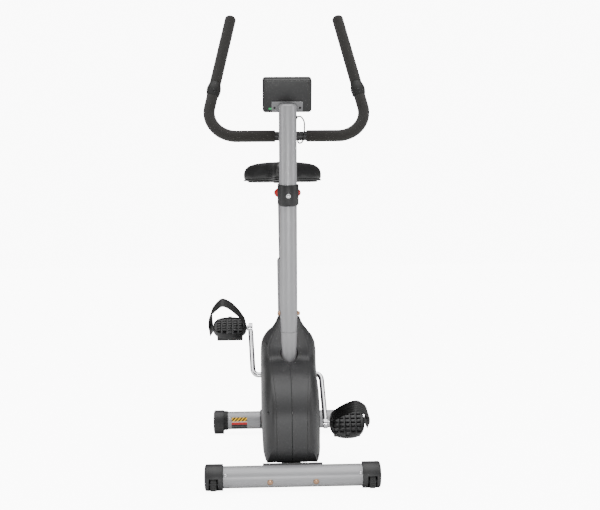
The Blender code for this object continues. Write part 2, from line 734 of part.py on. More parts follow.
def toe_strap(side_name, side):
    """A ribbed strap that arches over the tread, from the pedal's inner side to its outer side."""
    frame = pedal_matrix(side)
    near = EYE_WIDTH / 2 + PEDAL_CLEAR
    lift = TREAD_TOP + GAP + STRAP_THICKNESS
    inner = near + 0.0035
    outer = near + PEDAL_WIDTH + GAP
    route = [(inner, lift), (inner + 0.006, 0.028), (inner + 0.022, 0.052), (inner + 0.046, 0.078),
             (inner + 0.070, STRAP_HEIGHT), (outer - 0.014, 0.078), (outer + 0.003, 0.052),
             (outer + 0.0050, 0.020), (outer + 0.0035, 0.000), (outer + 0.002, -0.026)]
    line = smooth_curve([(x, 0, z) for x, z in route], 3)
    work = bmesh.new()
    rows = []
    for point in line:
        row = []
        for share in (-0.5, 0, 0.5):
            y = STRAP_BACK + share * STRAP_WIDTH
            row.append(work.verts.new((side * point.x, y, point.z)))
        rows.append(row)
    for first, second in zip(rows, rows[1:]):
        for index in range(2):
            work.faces.new((first[index], first[index + 1], second[index + 1], second[index]))
    bmesh.ops.recalc_face_normals(work, faces=work.faces)
    mesh = bpy.data.meshes.new("pedal_strap_" + side_name)
    work.to_mesh(mesh)
    work.free()
    strap = add("pedal_strap_" + side_name, mesh, material("strap_rubber", (0.03, 0.03, 0.03), 0.6), frame)
    solid = strap.modifiers.new("wall", "SOLIDIFY")
    solid.thickness = STRAP_THICKNESS
    solid.offset = 0
    return strap


# ---- flywheel, belt and magnet

def cradle():
    """A U of steel plate on the base beam that carries the flywheel's shaft."""
    left = FLYWHEEL_FROM_X - 0.006 - CRADLE_WALL
    right = FLYWHEEL_TO_X + 0.006 + CRADLE_WALL
    floor = BEAM_TOP + GAP
    top = FLYWHEEL_Z + 0.022
    outline = [(left, floor), (right, floor), (right, top), (right - CRADLE_WALL, top),
               (right - CRADLE_WALL, floor + CRADLE_WALL), (left + CRADLE_WALL, floor + CRADLE_WALL),
               (left + CRADLE_WALL, top), (left, top)]
    upright = Matrix(((1, 0, 0, 0), (0, 0, -1, 0), (0, 1, 0, 0), (0, 0, 0, 1)))
    matrix = Matrix.Translation((0, FLYWHEEL_Y, 0)) @ upright
    fork = extruded("flywheel_cradle", outline, 0.050, matrix, black_steel())
    reach = X_AXIS * 0.06
    cut(fork, cylinder("shaft_hole", AXLE_R + GAP, FLYWHEEL - reach, FLYWHEEL + reach,
                       black_steel(), SMALL))


def flywheel_group():
    cradle()
    iron = material("cast_iron", (0.20, 0.20, 0.21), 0.45, 1.0)
    bore = AXLE_R + GAP
    low, high = FLYWHEEL_FROM_X, FLYWHEEL_TO_X
    profile = [(high, bore), (high, 0.018), (high - 0.010, 0.022), (high - 0.010, FLYWHEEL_R - 0.018),
               (high, FLYWHEEL_R - 0.014), (high, FLYWHEEL_R), (low, FLYWHEEL_R), (low, FLYWHEEL_R - 0.014),
               (low + 0.010, FLYWHEEL_R - 0.018), (low + 0.010, 0.022), (low, 0.018), (low, bore)]
    turned("flywheel", profile, FLYWHEEL, X_AXIS, iron, LARGE, ring=True)
    steel = material("axle_steel", (0.45, 0.45, 0.46), 0.3, 1.0)
    ends = (FLYWHEEL_FROM_X - 0.016, PULLEY_INNER_X - 0.002)
    groove = SMALL_PULLEY_R - 0.001
    first, last = PULLEY_INNER_X, PULLEY_INNER_X + PULLEY_WIDTH
    profile = [(last, 0), (last, SMALL_PULLEY_R), (last - 0.0015, groove),
               (first + 0.0015, groove), (first, SMALL_PULLEY_R), (first, 0.010), (ends[1], 0.010),
               (ends[1], AXLE_R), (ends[0], AXLE_R), (ends[0], 0)]
    turned("flywheel_shaft", profile, FLYWHEEL, X_AXIS, steel, MEDIUM)
    drive_belt()
    magnet_bracket()


def belt_loop(extra):
    """The belt's outline round both pulleys, in the YZ plane, at a height over their grooves."""
    big = DRIVE_PULLEY_R - 0.001 + GAP + extra
    small = SMALL_PULLEY_R - 0.001 + GAP + extra
    run = Vector((FLYWHEEL_Y, FLYWHEEL_Z - CRANK_Z))
    toward = math.atan2(run.y, run.x)
    lean = math.acos((big - small) / run.length)
    big_arc = arc((0, CRANK_Z), big, toward + lean, toward + 2 * math.pi - lean, 28)
    small_arc = arc((FLYWHEEL_Y, FLYWHEEL_Z), small, toward - lean, toward + lean, 12)
    return big_arc + small_arc


def drive_belt():
    work = bmesh.new()
    loops = []
    for extra, x in ((0, -1), (0, 1), (BELT_THICKNESS, 1), (BELT_THICKNESS, -1)):
        across = BELT_X + x * BELT_WIDTH / 2
        loops.append([work.verts.new((across, y, z)) for y, z in belt_loop(extra)])
    count = len(loops[0])
    for ring in range(4):
        here, there = loops[ring], loops[(ring + 1) % 4]
        for index in range(count):
            after = (index + 1) % count
            work.faces.new((here[index], here[after], there[after], there[index]))
    bmesh.ops.recalc_face_normals(work, faces=work.faces)
    mesh = bpy.data.meshes.new("drive_belt")
    work.to_mesh(mesh)
    work.free()
    add("drive_belt", mesh, material("belt_rubber", (0.02, 0.02, 0.02), 0.7))


def magnet_bracket():
    """A curved arm over the flywheel's rim that carries the braking magnets."""
    inner = FLYWHEEL_R + 0.003
    outline = arc((0, 0), inner + 0.006, math.radians(62), math.radians(106), 8)
    outline += arc((0, 0), inner, math.radians(106), math.radians(62), 8)
    matrix = Matrix.Translation((-0.007, FLYWHEEL_Y, FLYWHEEL_Z)) @ YZ_PLANE
    arm = extruded("magnet_bracket", outline, 0.034, matrix, black_steel())
    pivot = magnet_pivot()
    arm.data.transform(Matrix.Translation(-pivot) @ matrix)
    arm.matrix_world = Matrix.Translation(pivot)


def magnet_pivot():
    """The hinge line at the arm's rear end."""
    angle = math.radians(62)
    reach = FLYWHEEL_R + 0.006
    return FLYWHEEL + Vector((0, reach * math.cos(angle), reach * math.sin(angle)))


# ---- shroud halves

def shroud_outline():
    """The side view of the shroud as a closed curve of (y, z) points."""
    front = [(-0.373, SHROUD_BOTTOM), (-0.390, 0.108), (-0.396, 0.165), (-0.391, 0.215), (-0.366, 0.262),
             (-0.325, 0.296), (-0.270, 0.316), (-0.222, 0.330), (-0.208, 0.358), (-0.209, 0.405),
             (-0.210, 0.444)]
    back = [(-0.196, 0.452), (-0.165, 0.450), (-0.120, 0.432), (-0.060, 0.412), (0.010, 0.400),
            (0.075, 0.378), (0.122, 0.332), (0.146, 0.270), (0.150, 0.200), (0.142, 0.130),
            (0.125, SHROUD_BOTTOM)]
    outline = smooth_curve([(y, z, 0) for y, z in front], 2) + smooth_curve([(y, z, 0) for y, z in back], 2)
    return [(point.x, max(point.y, SHROUD_BOTTOM)) for point in outline]


def blend(low, high, value):
    share = min(max((value - low) / (high - low), 0), 1)
    return share * share * (3 - 2 * share)


def band_half_width(z):
    """Half the width of the front band, which is widest below the post's notch."""
    wide = 0.042 + 0.009 * blend(0.21, 0.33, z)
    return wide - 0.022 * blend(0.36, 0.447, z)


def distance_to_outline(point, outline):
    nearest = 1.0
    for first, second in zip(outline, outline[1:] + outline[:1]):
        a, b = Vector(first), Vector(second)
        run = b - a
        share = 0 if run.length_squared == 0 else min(max((point - a).dot(run) / run.length_squared, 0), 1)
        nearest = min(nearest, (point - a - run * share).length)
    return nearest


def flank(y, z, depth):
    """How far out the shroud's side stands, at a depth inside its outline."""
    crease = band_half_width(z)
    bulge = SHROUD_HALF_WIDTH - 0.042
    room = min(bulge, SHROUD_HALF_WIDTH - crease) * (1 - 0.75 * blend(0.350, 0.450, z))
    share = min(depth / 0.075, 1)
    return crease + room * (1 - (1 - share) ** 2.2) ** (1 / 2.2)


def shroud_half(side_name, side):
    """A moulded half shell, open at the seam, at the post and under the base."""
    outline = shroud_outline()
    centre = Vector((-0.140, 0.235))
    work = bmesh.new()
    rings = [[work.verts.new((side * GAP / 2, y, z)) for y, z in outline]]
    for share in (0, 0.03, 0.09, 0.19, 0.34, 0.55):
        ring = []
        for y, z in outline:
            at = Vector((y, z)).lerp(centre, share)
            depth = distance_to_outline(at, outline) if share else 0
            ring.append(work.verts.new((side * flank(at.x, at.y, depth), at.x, at.y)))
        rings.append(ring)
    count = len(outline)
    for here, there in zip(rings, rings[1:]):
        for index in range(count):
            after = (index + 1) % count
            work.faces.new((here[index], here[after], there[after], there[index]))
    work.faces.new(rings[-1])
    bmesh.ops.recalc_face_normals(work, faces=work.faces)
    if sum(face.normal.x * side * face.calc_area() for face in work.faces) < 0:
        bmesh.ops.reverse_faces(work, faces=work.faces)
    mesh = bpy.data.meshes.new("shroud_" + side_name)
    work.to_mesh(mesh)
    work.free()
    shell = add("shroud_" + side_name, mesh, black_plastic())
    wall = shell.modifiers.new("wall", "SOLIDIFY")
    wall.thickness = SHROUD_WALL
    wall.offset = -1
    wall.use_even_offset = True
    settle(shell)
    finish = black_plastic()
    low, high = SEAM - UP_POST * 0.25, SEAM + UP_POST * 0.10
    cut(shell, cylinder("post_opening", POST_R + 2 * GAP, low, high, finish, MEDIUM))
    notch = Vector((0, SEAM_Y + 0.015, NOTCH_Z + POST_R))
    in_front = notch - Vector((0, 0.12, 0))
    cut(shell, cylinder("post_notch", POST_R + 2 * GAP, notch, in_front, finish, MEDIUM))
    low, high = CRANK + UP_SEAT * 0.06, CRANK + UP_SEAT * 0.25
    cut(shell, cylinder("seat_opening", SEAT_TUBE_R + 2 * GAP, low, high, finish, MEDIUM))
    outside = CRANK + X_AXIS * side * 0.12
    cut(shell, cylinder("crank_opening", CRANK_ROD_R + 0.007, CRANK, outside, finish, SMALL))
    floor = Matrix.Translation((0, -0.105, SHROUD_BOTTOM))
    cut(shell, box("base_opening", (0.076, 0.470, 0.030), floor, finish))


# ---- tension collar and knob

def tension_group():
    plastic = black_plastic()
    at = SEAM + UP_POST * COLLAR_AT
    half = COLLAR_HEIGHT / 2
    bore = POST_R + GAP
    profile = [(half, bore), (half, COLLAR_R - 0.001), (half - 0.002, COLLAR_R), (0.004 - half, COLLAR_R),
               (-half, COLLAR_R - 0.004), (-half, bore)]
    collar = turned("tension_collar", profile, at, UP_POST, plastic, MEDIUM, ring=True)
    boss = aim(at + BACK_OF_POST * 0.035, BACK_OF_POST)
    weld(collar, box("boss", (0.040, 0.046, 0.018), boss, plastic))
    cut(collar, cylinder("collar_bore", bore, at - UP_POST * 0.05, at + UP_POST * 0.05, plastic, MEDIUM))
    cut(collar, cylinder("knob_bore", 0.006, at, at + BACK_OF_POST * 0.06, plastic, TINY))
    face = 0.044 + GAP
    place = aim(at + BACK_OF_POST * (face + KNOB_DEPTH / 2), BACK_OF_POST)
    lobes = []
    for index in range(36):
        turn = 2 * math.pi * index / 36
        reach = KNOB_R * (0.90 + 0.10 * math.cos(6 * turn))
        lobes.append((reach * math.cos(turn), reach * math.sin(turn)))
    red = material("red_plastic", (0.70, 0.01, 0.01), 0.35)
    knob = extruded("tension_knob", lobes, KNOB_DEPTH, place, red)
    start = at + BACK_OF_POST * 0.030
    weld(knob, cylinder("stem", 0.0055, start, at + BACK_OF_POST * (face + 0.002), red, TINY))
    tension_cable(at)


def tension_cable(at):
    """The cable inside the post and stub, from the knob's boss down to the magnet bracket."""
    down = -UP_POST
    outlet = SEAM + down * 0.110
    end = magnet_pivot() + Vector((-0.007, -0.030, 0.0185))
    route = [at + BACK_OF_POST * 0.020, at + BACK_OF_POST * 0.012 + down * 0.015,
             at + BACK_OF_POST * 0.004 + down * 0.040, at + down * 0.100, at + down * 0.220,
             at + down * 0.340, SEAM + down * 0.030, SEAM + down * 0.080,
             outlet - BACK_OF_POST * 0.014 + down * 0.001, outlet - BACK_OF_POST * 0.040,
             outlet - BACK_OF_POST * 0.065 + down * 0.004, end + Vector((0, 0.006, 0.010)), end]
    black = material("cable_black", (0.01, 0.01, 0.01), 0.5)
    rod("tension_cable", smooth_curve(route, 3), 0.0014, black, 1)


# ---- handlebar, clamp, foam and pulse sensors

def bar_origin():
    """The middle of the crossbar, held just behind the post."""
    up = (BAR_Z - SEAM_Z) / math.cos(POST_LEAN)
    behind = POST_R + GAP + CLAMP_WALL + GAP + BAR_R
    spot = SEAM + UP_POST * up
    return Vector((0, spot.y + behind / math.cos(POST_LEAN), BAR_Z))


def bar_point(along, side):
    """A point on the bar's centre line, at a length along it from the middle."""
    straight = BAR_HALF_WIDTH - BAR_CORNER_R
    turn_total = math.pi / 2 + BAR_INWARD
    arc_length = BAR_CORNER_R * turn_total
    if along <= straight:
        across, up = along, 0
    elif along <= straight + arc_length:
        turn = (along - straight) / BAR_CORNER_R
        across = straight + BAR_CORNER_R * math.sin(turn)
        up = BAR_CORNER_R * (1 - math.cos(turn))
    else:
        rest = along - straight - arc_length
        across = straight + BAR_CORNER_R * math.sin(turn_total) - rest * math.sin(BAR_INWARD)
        up = BAR_CORNER_R * (1 - math.cos(turn_total)) + rest * math.cos(BAR_INWARD)
    sweep = Vector((0, math.sin(BAR_SWEEP), math.cos(BAR_SWEEP)))
    return bar_origin() + X_AXIS * side * across + sweep * up


def bar_length():
    """Half the bar's length, from the middle to one tip."""
    straight = BAR_HALF_WIDTH - BAR_CORNER_R
    turn_total = math.pi / 2 + BAR_INWARD
    rise = BAR_ARM_HEIGHT - BAR_CORNER_R * (1 - math.cos(turn_total))
    return straight + BAR_CORNER_R * turn_total + rise / math.cos(BAR_INWARD)


def bar_stretch(start, end, side):
    """Points along the bar between two lengths, close together only round the corner."""
    straight = BAR_HALF_WIDTH - BAR_CORNER_R
    arc_length = BAR_CORNER_R * (math.pi / 2 + BAR_INWARD)
    stops = [straight + arc_length * step / 7 for step in range(8)]
    lengths = [start] + [stop for stop in stops if start + 0.002 < stop < end - 0.002] + [end]
    return [bar_point(length, side) for length in lengths]


def handlebar_group():
    foam = material("foam", (0.045, 0.043, 0.040), 0.9)
    tip = bar_length()
    left = bar_stretch(0.0, tip - 0.010, LEFT)
    right = bar_stretch(0.0, tip - 0.010, RIGHT)
    bar = sleeve("handlebar", list(reversed(left)) + right[1:], BAR_R, BAR_WALL, black_steel())
    cut(bar, cylinder("wire_hole", 0.0030, pulse_wire_end() - Vector((0, 0, 0.002)),
                      pulse_wire_end() + Vector((0, 0, 0.008)), black_steel(), TINY))
    for side_name, side in SIDES.items():
        inner_end = 0.034 if side == LEFT else 0.054
        wall = FOAM_R - BAR_R - 2 * GAP
        lower = bar_stretch(inner_end, SENSOR_FROM - GAP, side)
        sleeve("foam_lower_" + side_name, lower, FOAM_R, wall, foam)
        sleeve("foam_upper_" + side_name, [bar_point(SENSOR_TO + GAP, side), bar_point(tip, side)],
               FOAM_R, wall, foam)
        low, high = bar_point(SENSOR_FROM, side), bar_point(SENSOR_TO, side)
        length = (high - low).length
        bore = BAR_R + 2 * GAP
        profile = [(length, bore), (length, FOAM_R + 0.0005), (length - 0.006, SENSOR_R),
                   (0.006, SENSOR_R), (0, FOAM_R + 0.0005), (0, bore)]
        turned("pulse_sensor_" + side_name, profile, low, high - low, black_plastic(), SMALL, ring=True)
        way = (bar_point(tip, side) - bar_point(tip - 0.05, side)).normalized()
        profile = [(0.011, 0), (0.0095, 0.0075), (0.006, 0.0125), (0.001, FOAM_R), (GAP, FOAM_R),
                   (GAP, BAR_R - 0.0008), (-0.014, BAR_R - 0.0008), (-0.014, 0)]
        weld(bar, turned("end_plug", profile, bar_point(tip, side), way, black_plastic(), SMALL))
    clamp()


def clamp():
    """The clamp welded behind the post: a saddle and a strap with a bore for the bar."""
    centre = bar_origin()
    reach = X_AXIS * CLAMP_WIDTH / 2
    outer = BAR_R + GAP + CLAMP_WALL
    piece = cylinder("handlebar_clamp", outer, centre - reach, centre + reach, black_steel(), MEDIUM)
    to_post = aim(centre - BACK_OF_POST * 0.018, BACK_OF_POST)
    weld(piece, box("saddle", (CLAMP_WIDTH, 0.030, 0.036), to_post, black_steel()))
    cut(piece, cylinder("bar_bore", BAR_R + GAP, centre - reach * 1.2, centre + reach * 1.2,
                        black_steel(), MEDIUM))
    up = (BAR_Z - SEAM_Z) / math.cos(POST_LEAN)
    spot = SEAM + UP_POST * up
    cut(piece, cylinder("post_cope", POST_R + GAP, spot - UP_POST * 0.08, spot + UP_POST * 0.08,
                        black_steel(), MEDIUM))


def cable_outlet():
    """Where the pulse lead leaves the post's side, above the crossbar."""
    return SEAM + UP_POST * 0.611 + X_AXIS * POST_R


def pulse_wire_end():
    """Where the lead enters the crossbar from below."""
    return bar_origin() + Vector((0.030, 0, -BAR_R))


def pulse_cable():
    out = cable_outlet()
    end = pulse_wire_end()
    bar = bar_origin()
    route = [out + X_AXIS * 0.001, out + Vector((0.006, 0.002, 0.003)), out + Vector((0.014, 0.006, 0.001)),
             out + Vector((0.0215, 0.010, -0.012)), bar + Vector((0.048, -0.0175, 0.018)),
             bar + Vector((0.0475, -0.0175, 0.000)), bar + Vector((0.043, -0.012, -0.0155)),
             bar + Vector((0.036, -0.004, -0.0205)), end + Vector((0.0008, 0, -0.0050)),
             end + Vector((0, 0, -0.0008))]
    rod("pulse_cable", smooth_curve(route, 3), 0.0017, material("cable_black", (0.01, 0.01, 0.01), 0.5), 1)


# ---- console

def console_place():
    """The console's own frame: Z square to its screen, Y up its screen, at its back's middle."""
    facing = Vector((0, math.cos(CONSOLE_TILT), math.sin(CONSOLE_TILT)))
    up = Vector((0, -math.sin(CONSOLE_TILT), math.cos(CONSOLE_TILT)))
    across = up.cross(facing)
    turn = Matrix((across, up, facing)).transposed().to_4x4()
    foot = SEAM + UP_POST * (POST_LENGTH - 0.020) + Vector((0, POST_R + 0.009, 0))
    return Matrix.Translation(foot + up * (CONSOLE_HEIGHT / 2 - 0.002)) @ turn


def console_group():
    place = console_place()
    grey = material("bracket_grey", (0.55, 0.55, 0.55), 0.4)
    plate_z = -0.0015 - GAP
    low = -CONSOLE_HEIGHT / 2
    plate = place @ Matrix.Translation((0, low + 0.018, plate_z))
    bracket = box("console_bracket", (0.088, 0.030, 0.003), plate, grey)
    tab = place @ Matrix.Translation((0, low + 0.014, plate_z - 0.010))
    weld(bracket, box("tab", (0.030, 0.030, 0.020), tab, grey))
    start, end = SEAM + UP_POST * 0.5, SEAM + UP_POST * (POST_LENGTH + 0.05)
    cut(bracket, cylinder("post_cope", POST_R + GAP, start, end, grey, MEDIUM))
    dark = black_plastic()
    back_depth = CONSOLE_DEPTH * 0.66
    back = box("console_back", (CONSOLE_WIDTH, CONSOLE_HEIGHT, back_depth),
               place @ Matrix.Translation((0, 0, back_depth / 2)), dark, 0.006, 2)
    settle(back)
    hollow = place @ Matrix.Translation((0, 0, back_depth / 2 + 0.003))
    cut(back, box("back_hollow", (CONSOLE_WIDTH - 0.006, CONSOLE_HEIGHT - 0.006, back_depth), hollow, dark))
    rim = Matrix.Translation((0, 0, back_depth - 0.005))
    cut(back, box("back_rim", (CONSOLE_WIDTH + 0.02, CONSOLE_HEIGHT + 0.02, 0.01),
                  place @ rim @ Matrix.Translation((0, 0, 0.010)), dark))
    front_depth = CONSOLE_DEPTH - back_depth
    front_z = back_depth + GAP + front_depth / 2
    front = box("console_front", (CONSOLE_WIDTH, CONSOLE_HEIGHT, front_depth),
                place @ Matrix.Translation((0, 0, front_z)), dark, 0.004, 2)
    settle(front)
    hollow = place @ Matrix.Translation((0, 0, front_z - 0.003))
    inside = (CONSOLE_WIDTH - 0.010, CONSOLE_HEIGHT - 0.010, front_depth)
    cut(front, box("front_hollow", inside, hollow, dark))
    lens_z = back_depth + GAP + front_depth - 0.0015
    window = place @ Matrix.Translation((0, 0.014, lens_z))
    cut(front, box("lens_window", (0.092 + 2 * GAP, 0.046 + 2 * GAP, 0.008), window, dark))
    glass = material("lens", (0.02, 0.03, 0.03), 0.1)
    box("console_lens", (0.092, 0.046, 0.003), window, glass)
    for name, across in (("mode", -0.024), ("reset", 0.024)):
        spot = place @ Matrix.Translation((across, -0.028, lens_z))
        normal = spot.to_3x3() @ Vector((0, 0, 1))
        at = spot.translation
        depth = normal * 0.008
        cut(front, cylinder("button_hole", BUTTON_R + SLACK, at - depth, at + depth, dark, SMALL))
        profile = [(0.0035, 0), (0.0030, BUTTON_R - 0.001), (0.0020, BUTTON_R), (-0.0065, BUTTON_R),
                   (-0.0065, 0)]
        finish = material("button_grey", (0.35, 0.35, 0.36), 0.5)
        turned("button_" + name, profile, at, normal, finish, SMALL)


# ---- saddle and seat post

def saddle_outline():
    """The saddle's plan view as a closed curve, nose to the front."""
    nose, wide, back = SADDLE_NOSE / 2, SADDLE_WIDTH / 2, SADDLE_LENGTH / 2
    half = [(0, -back), (nose * 0.70, -back + 0.006), (nose, -back + 0.030), (nose * 1.08, -0.060),
            (nose * 1.45, -0.020), (wide * 0.78, 0.030), (wide * 0.98, 0.075), (wide * 0.93, 0.112),
            (wide * 0.60, back - 0.004), (0, back - 0.012)]
    full = half + [(-x, y) for x, y in reversed(half[1:-1])]
    return smooth_curve([(x, y, 0) for x, y in full], 2, closed=True)


def saddle_group():
    top = CRANK + UP_SEAT * (SEAT_TUBE_LENGTH - SEAT_POST_INSERTION + SEAT_POST_LENGTH)
    low = CRANK + UP_SEAT * (SEAT_TUBE_LENGTH - SEAT_POST_INSERTION)
    chrome = material("chrome", (0.8, 0.8, 0.8), 0.12, 1.0)
    post = cylinder("seat_post", SEAT_POST_R, low, top, chrome, MEDIUM)
    open_end, closed_end = low - UP_SEAT * 0.01, top - UP_SEAT * 0.03
    cut(post, cylinder("seat_post_bore", SEAT_POST_R - SEAT_POST_WALL, open_end, closed_end,
                       black_steel(), MEDIUM))
    settle(post)
    weld(post, box("plate", (0.060, 0.110, 0.004), Matrix.Translation(top), black_steel()))
    above = Matrix.Translation(top + Vector((0, 0, 0.002 + 0.02)))
    cut(post, box("plate_trim", (0.1, 0.1, 0.04), above, black_steel()))
    wall = SEAT_BUSH_R - SEAT_POST_R - SLACK
    mouth = CRANK + UP_SEAT * SEAT_TUBE_LENGTH
    profile = [(0.006, SEAT_POST_R + SLACK), (0.006, SEAT_TUBE_R - 0.001), (GAP, SEAT_TUBE_R - 0.001),
               (GAP, SEAT_POST_R + SLACK + wall), (-0.030, SEAT_POST_R + SLACK + wall),
               (-0.030, SEAT_POST_R + SLACK)]
    turned("seat_bushing", profile, mouth, UP_SEAT, black_plastic(), MEDIUM, ring=True)
    knob = seat_knob_place()
    profile = [(0.034, 0), (0.034, 0.012), (0.031, 0.016), (0.016, 0.016), (0.012, 0.010), (0.001, 0.010),
               (0.001, 0.0055), (-0.0048, 0.0055), (-0.0048, 0)]
    turned("seat_knob", profile, knob, seat_back(), material("red_plastic", (0.7, 0.01, 0.01), 0.35), SMALL)
    base_z = top.z + 0.002 + GAP
    centre = Vector((0, top.y + 0.010, 0))
    outline = [(point.x * 0.90, point.y * 0.92) for point in saddle_outline()]
    place = Matrix.Translation((centre.x, centre.y, base_z + 0.006))
    extruded("saddle_base", outline, 0.012, place, black_plastic())
    cushion_from = base_z + 0.012 + GAP
    work = bmesh.new()
    levels = ((0.96, 0.0), (1.0, 0.016), (0.97, 0.034), (0.84, 0.046), (0.60, 0.052))
    rings = []
    for share, height in levels:
        ring = []
        for point in saddle_outline():
            ring.append(work.verts.new((centre.x + point.x * share, centre.y + point.y * share,
                                        cushion_from + height)))
        rings.append(ring)
    count = len(rings[0])
    for here, there in zip(rings, rings[1:]):
        for index in range(count):
            after = (index + 1) % count
            work.faces.new((here[index], here[after], there[after], there[index]))
    work.faces.new(rings[0])
    work.faces.new(rings[-1])
    bmesh.ops.recalc_face_normals(work, faces=work.faces)
    mesh = bpy.data.meshes.new("saddle_cushion")
    work.to_mesh(mesh)
    work.free()
    add("saddle_cushion", mesh, material("saddle_vinyl", (0.02, 0.02, 0.02), 0.35))


floor_group()
main_beam()
post_stub()
seat_tube()
crank_group()
for pedal_name, pedal_side in SIDES.items():
    pedal(pedal_name, pedal_side)
flywheel_group()
for half_name, half_side in SIDES.items():
    shroud_half(half_name, half_side)
post_and_bolts()
tension_group()
handlebar_group()
pulse_cable()
console_group()
saddle_group()
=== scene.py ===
"""An upright exercise bike, finished in paint, chrome, foam, vinyl and moulded plastic."""
import math

import bmesh
import bpy
from mathutils import Matrix, Vector


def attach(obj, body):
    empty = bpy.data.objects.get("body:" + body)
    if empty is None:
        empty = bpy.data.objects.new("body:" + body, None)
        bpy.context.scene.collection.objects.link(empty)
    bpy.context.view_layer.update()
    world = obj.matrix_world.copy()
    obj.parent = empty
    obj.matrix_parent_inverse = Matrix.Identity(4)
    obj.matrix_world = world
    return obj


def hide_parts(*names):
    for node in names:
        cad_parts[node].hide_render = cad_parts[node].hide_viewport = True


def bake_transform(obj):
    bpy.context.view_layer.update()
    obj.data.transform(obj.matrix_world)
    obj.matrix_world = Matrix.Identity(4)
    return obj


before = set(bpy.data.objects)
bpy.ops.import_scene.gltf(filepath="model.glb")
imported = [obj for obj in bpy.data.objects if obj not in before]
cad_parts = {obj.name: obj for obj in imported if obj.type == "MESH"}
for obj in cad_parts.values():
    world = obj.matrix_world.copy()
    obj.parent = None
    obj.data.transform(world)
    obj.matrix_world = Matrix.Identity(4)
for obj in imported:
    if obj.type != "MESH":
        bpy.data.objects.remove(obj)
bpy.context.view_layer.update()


# ---- camera, floor and studio light
# A pale seamless floor that runs back out of sight, with broad soft panels above and beside it.
# The camera stands in front of the bike at about half its height, a little to its -X side.
def linear(hex_colour):
    """sRGB hex to linear light."""
    channels = [int(hex_colour[index:index + 2], 16) / 255 for index in (1, 3, 5)]
    return [c / 12.92 if c <= 0.04045 else ((c + 0.055) / 1.055) ** 2.4 for c in channels] + [1.0]


def put(tree, kind, settings=None, links=None):
    """Add one node, set its inputs or properties by name, and link its inputs."""
    node = tree.nodes.new(kind)
    for name, value in (settings or {}).items():
        if isinstance(name, int) or name in node.inputs:
            node.inputs[name].default_value = value
        else:
            setattr(node, name, value)
    for name, source in (links or {}).items():
        tree.links.new(source, node.inputs[name])
    return node


def finish_named(name, colour, roughness, metallic=0.0, **sockets):
    """A Principled material with its plain values set straight on the shader."""
    made = bpy.data.materials.new(name)
    made.use_nodes = True
    tree = made.node_tree
    shader = tree.nodes["Principled BSDF"]
    shader.inputs["Base Color"].default_value = linear(colour)
    shader.inputs["Roughness"].default_value = roughness
    shader.inputs["Metallic"].default_value = metallic
    for socket, value in sockets.items():
        shader.inputs[socket.replace("_", " ")].default_value = value
    return made, tree, shader


CAMERA_PLACE = Vector((-0.109, -3.457, 0.745))
CAMERA_TURN = (-2.05, -2.52, -0.58)     # degrees: pitch, turn towards the bike and roll
LENS_MM = 68.1
SENSOR_MM = 36.0
camera_data = bpy.data.cameras.new("camera")
camera_data.lens = LENS_MM
camera_data.sensor_width = SENSOR_MM
camera = bpy.data.objects.new("camera", camera_data)
bpy.context.scene.collection.objects.link(camera)
pitch, turn_in, roll = (math.radians(angle) for angle in CAMERA_TURN)
camera.matrix_world = (Matrix.Translation(CAMERA_PLACE) @ Matrix.Rotation(turn_in, 4, "Z")
                       @ Matrix.Rotation(math.pi / 2 + pitch, 4, "X") @ Matrix.Rotation(roll, 4, "Z"))
bpy.context.scene.camera = camera

floor_paper, floor_tree, floor_shader = finish_named("white_paper_sweep", "#FFFFFF", 0.95)
paper_grain = put(floor_tree, "ShaderNodeTexNoise", {"Scale": 4.0, "Detail": 2.0})
paper_gloss = put(floor_tree, "ShaderNodeMapRange", {"To Min": 0.93, "To Max": 0.97},
                  {"Value": paper_grain.outputs[0]})
floor_tree.links.new(paper_gloss.outputs["Result"], floor_shader.inputs["Roughness"])
GLOW = 9.0              # the sweep's own backlight, which only the camera sees
seen_floor = put(floor_tree, "ShaderNodeLightPath")
glow = put(floor_tree, "ShaderNodeMath", {"operation": "MULTIPLY", 1: GLOW},
           {0: seen_floor.outputs["Is Camera Ray"]})
floor_shader.inputs["Emission Color"].default_value = (1, 1, 1, 1)
floor_tree.links.new(glow.outputs[0], floor_shader.inputs["Emission Strength"])
SWEEP_HALF = 9.0
SWEEP_BACK = 4.0        # its middle lies this far behind the bike's
SWEEP_DROP = 0.0004     # and this far under its feet
work = bmesh.new()
bmesh.ops.create_grid(work, x_segments=1, y_segments=1, size=SWEEP_HALF)
floor_mesh = bpy.data.meshes.new("floor")
work.to_mesh(floor_mesh)
work.free()
floor_mesh.materials.append(floor_paper)
floor = bpy.data.objects.new("floor", floor_mesh)
floor.location = (0, SWEEP_BACK, -SWEEP_DROP)
bpy.context.scene.collection.objects.link(floor)

world = bpy.data.worlds.new("studio")
world.use_nodes = True
SURROUND = 0.24         # the dim studio round the bike, which polished pieces reflect
BACKDROP = 10.0         # the lit backdrop behind it
world_tree = world.node_tree
background = world_tree.nodes["Background"]
background.inputs["Color"].default_value = (1, 1, 1, 1)
seen = put(world_tree, "ShaderNodeLightPath")
strength = put(world_tree, "ShaderNodeMapRange", {"To Min": SURROUND, "To Max": BACKDROP},
               {"Value": seen.outputs["Is Camera Ray"]})
world_tree.links.new(strength.outputs["Result"], background.inputs["Strength"])
bpy.context.scene.world = world


def panel_light(name, place, target, size, power):
    """A soft rectangular lamp that faces a target."""
    data = bpy.data.lights.new(name, "AREA")
    data.shape = "RECTANGLE"
    data.size, data.size_y = size
    data.energy = power
    lamp = bpy.data.objects.new(name, data)
    lamp.location = place
    lamp.rotation_euler = (Vector(target) - Vector(place)).to_track_quat("-Z", "Y").to_euler()
    bpy.context.scene.collection.objects.link(lamp)


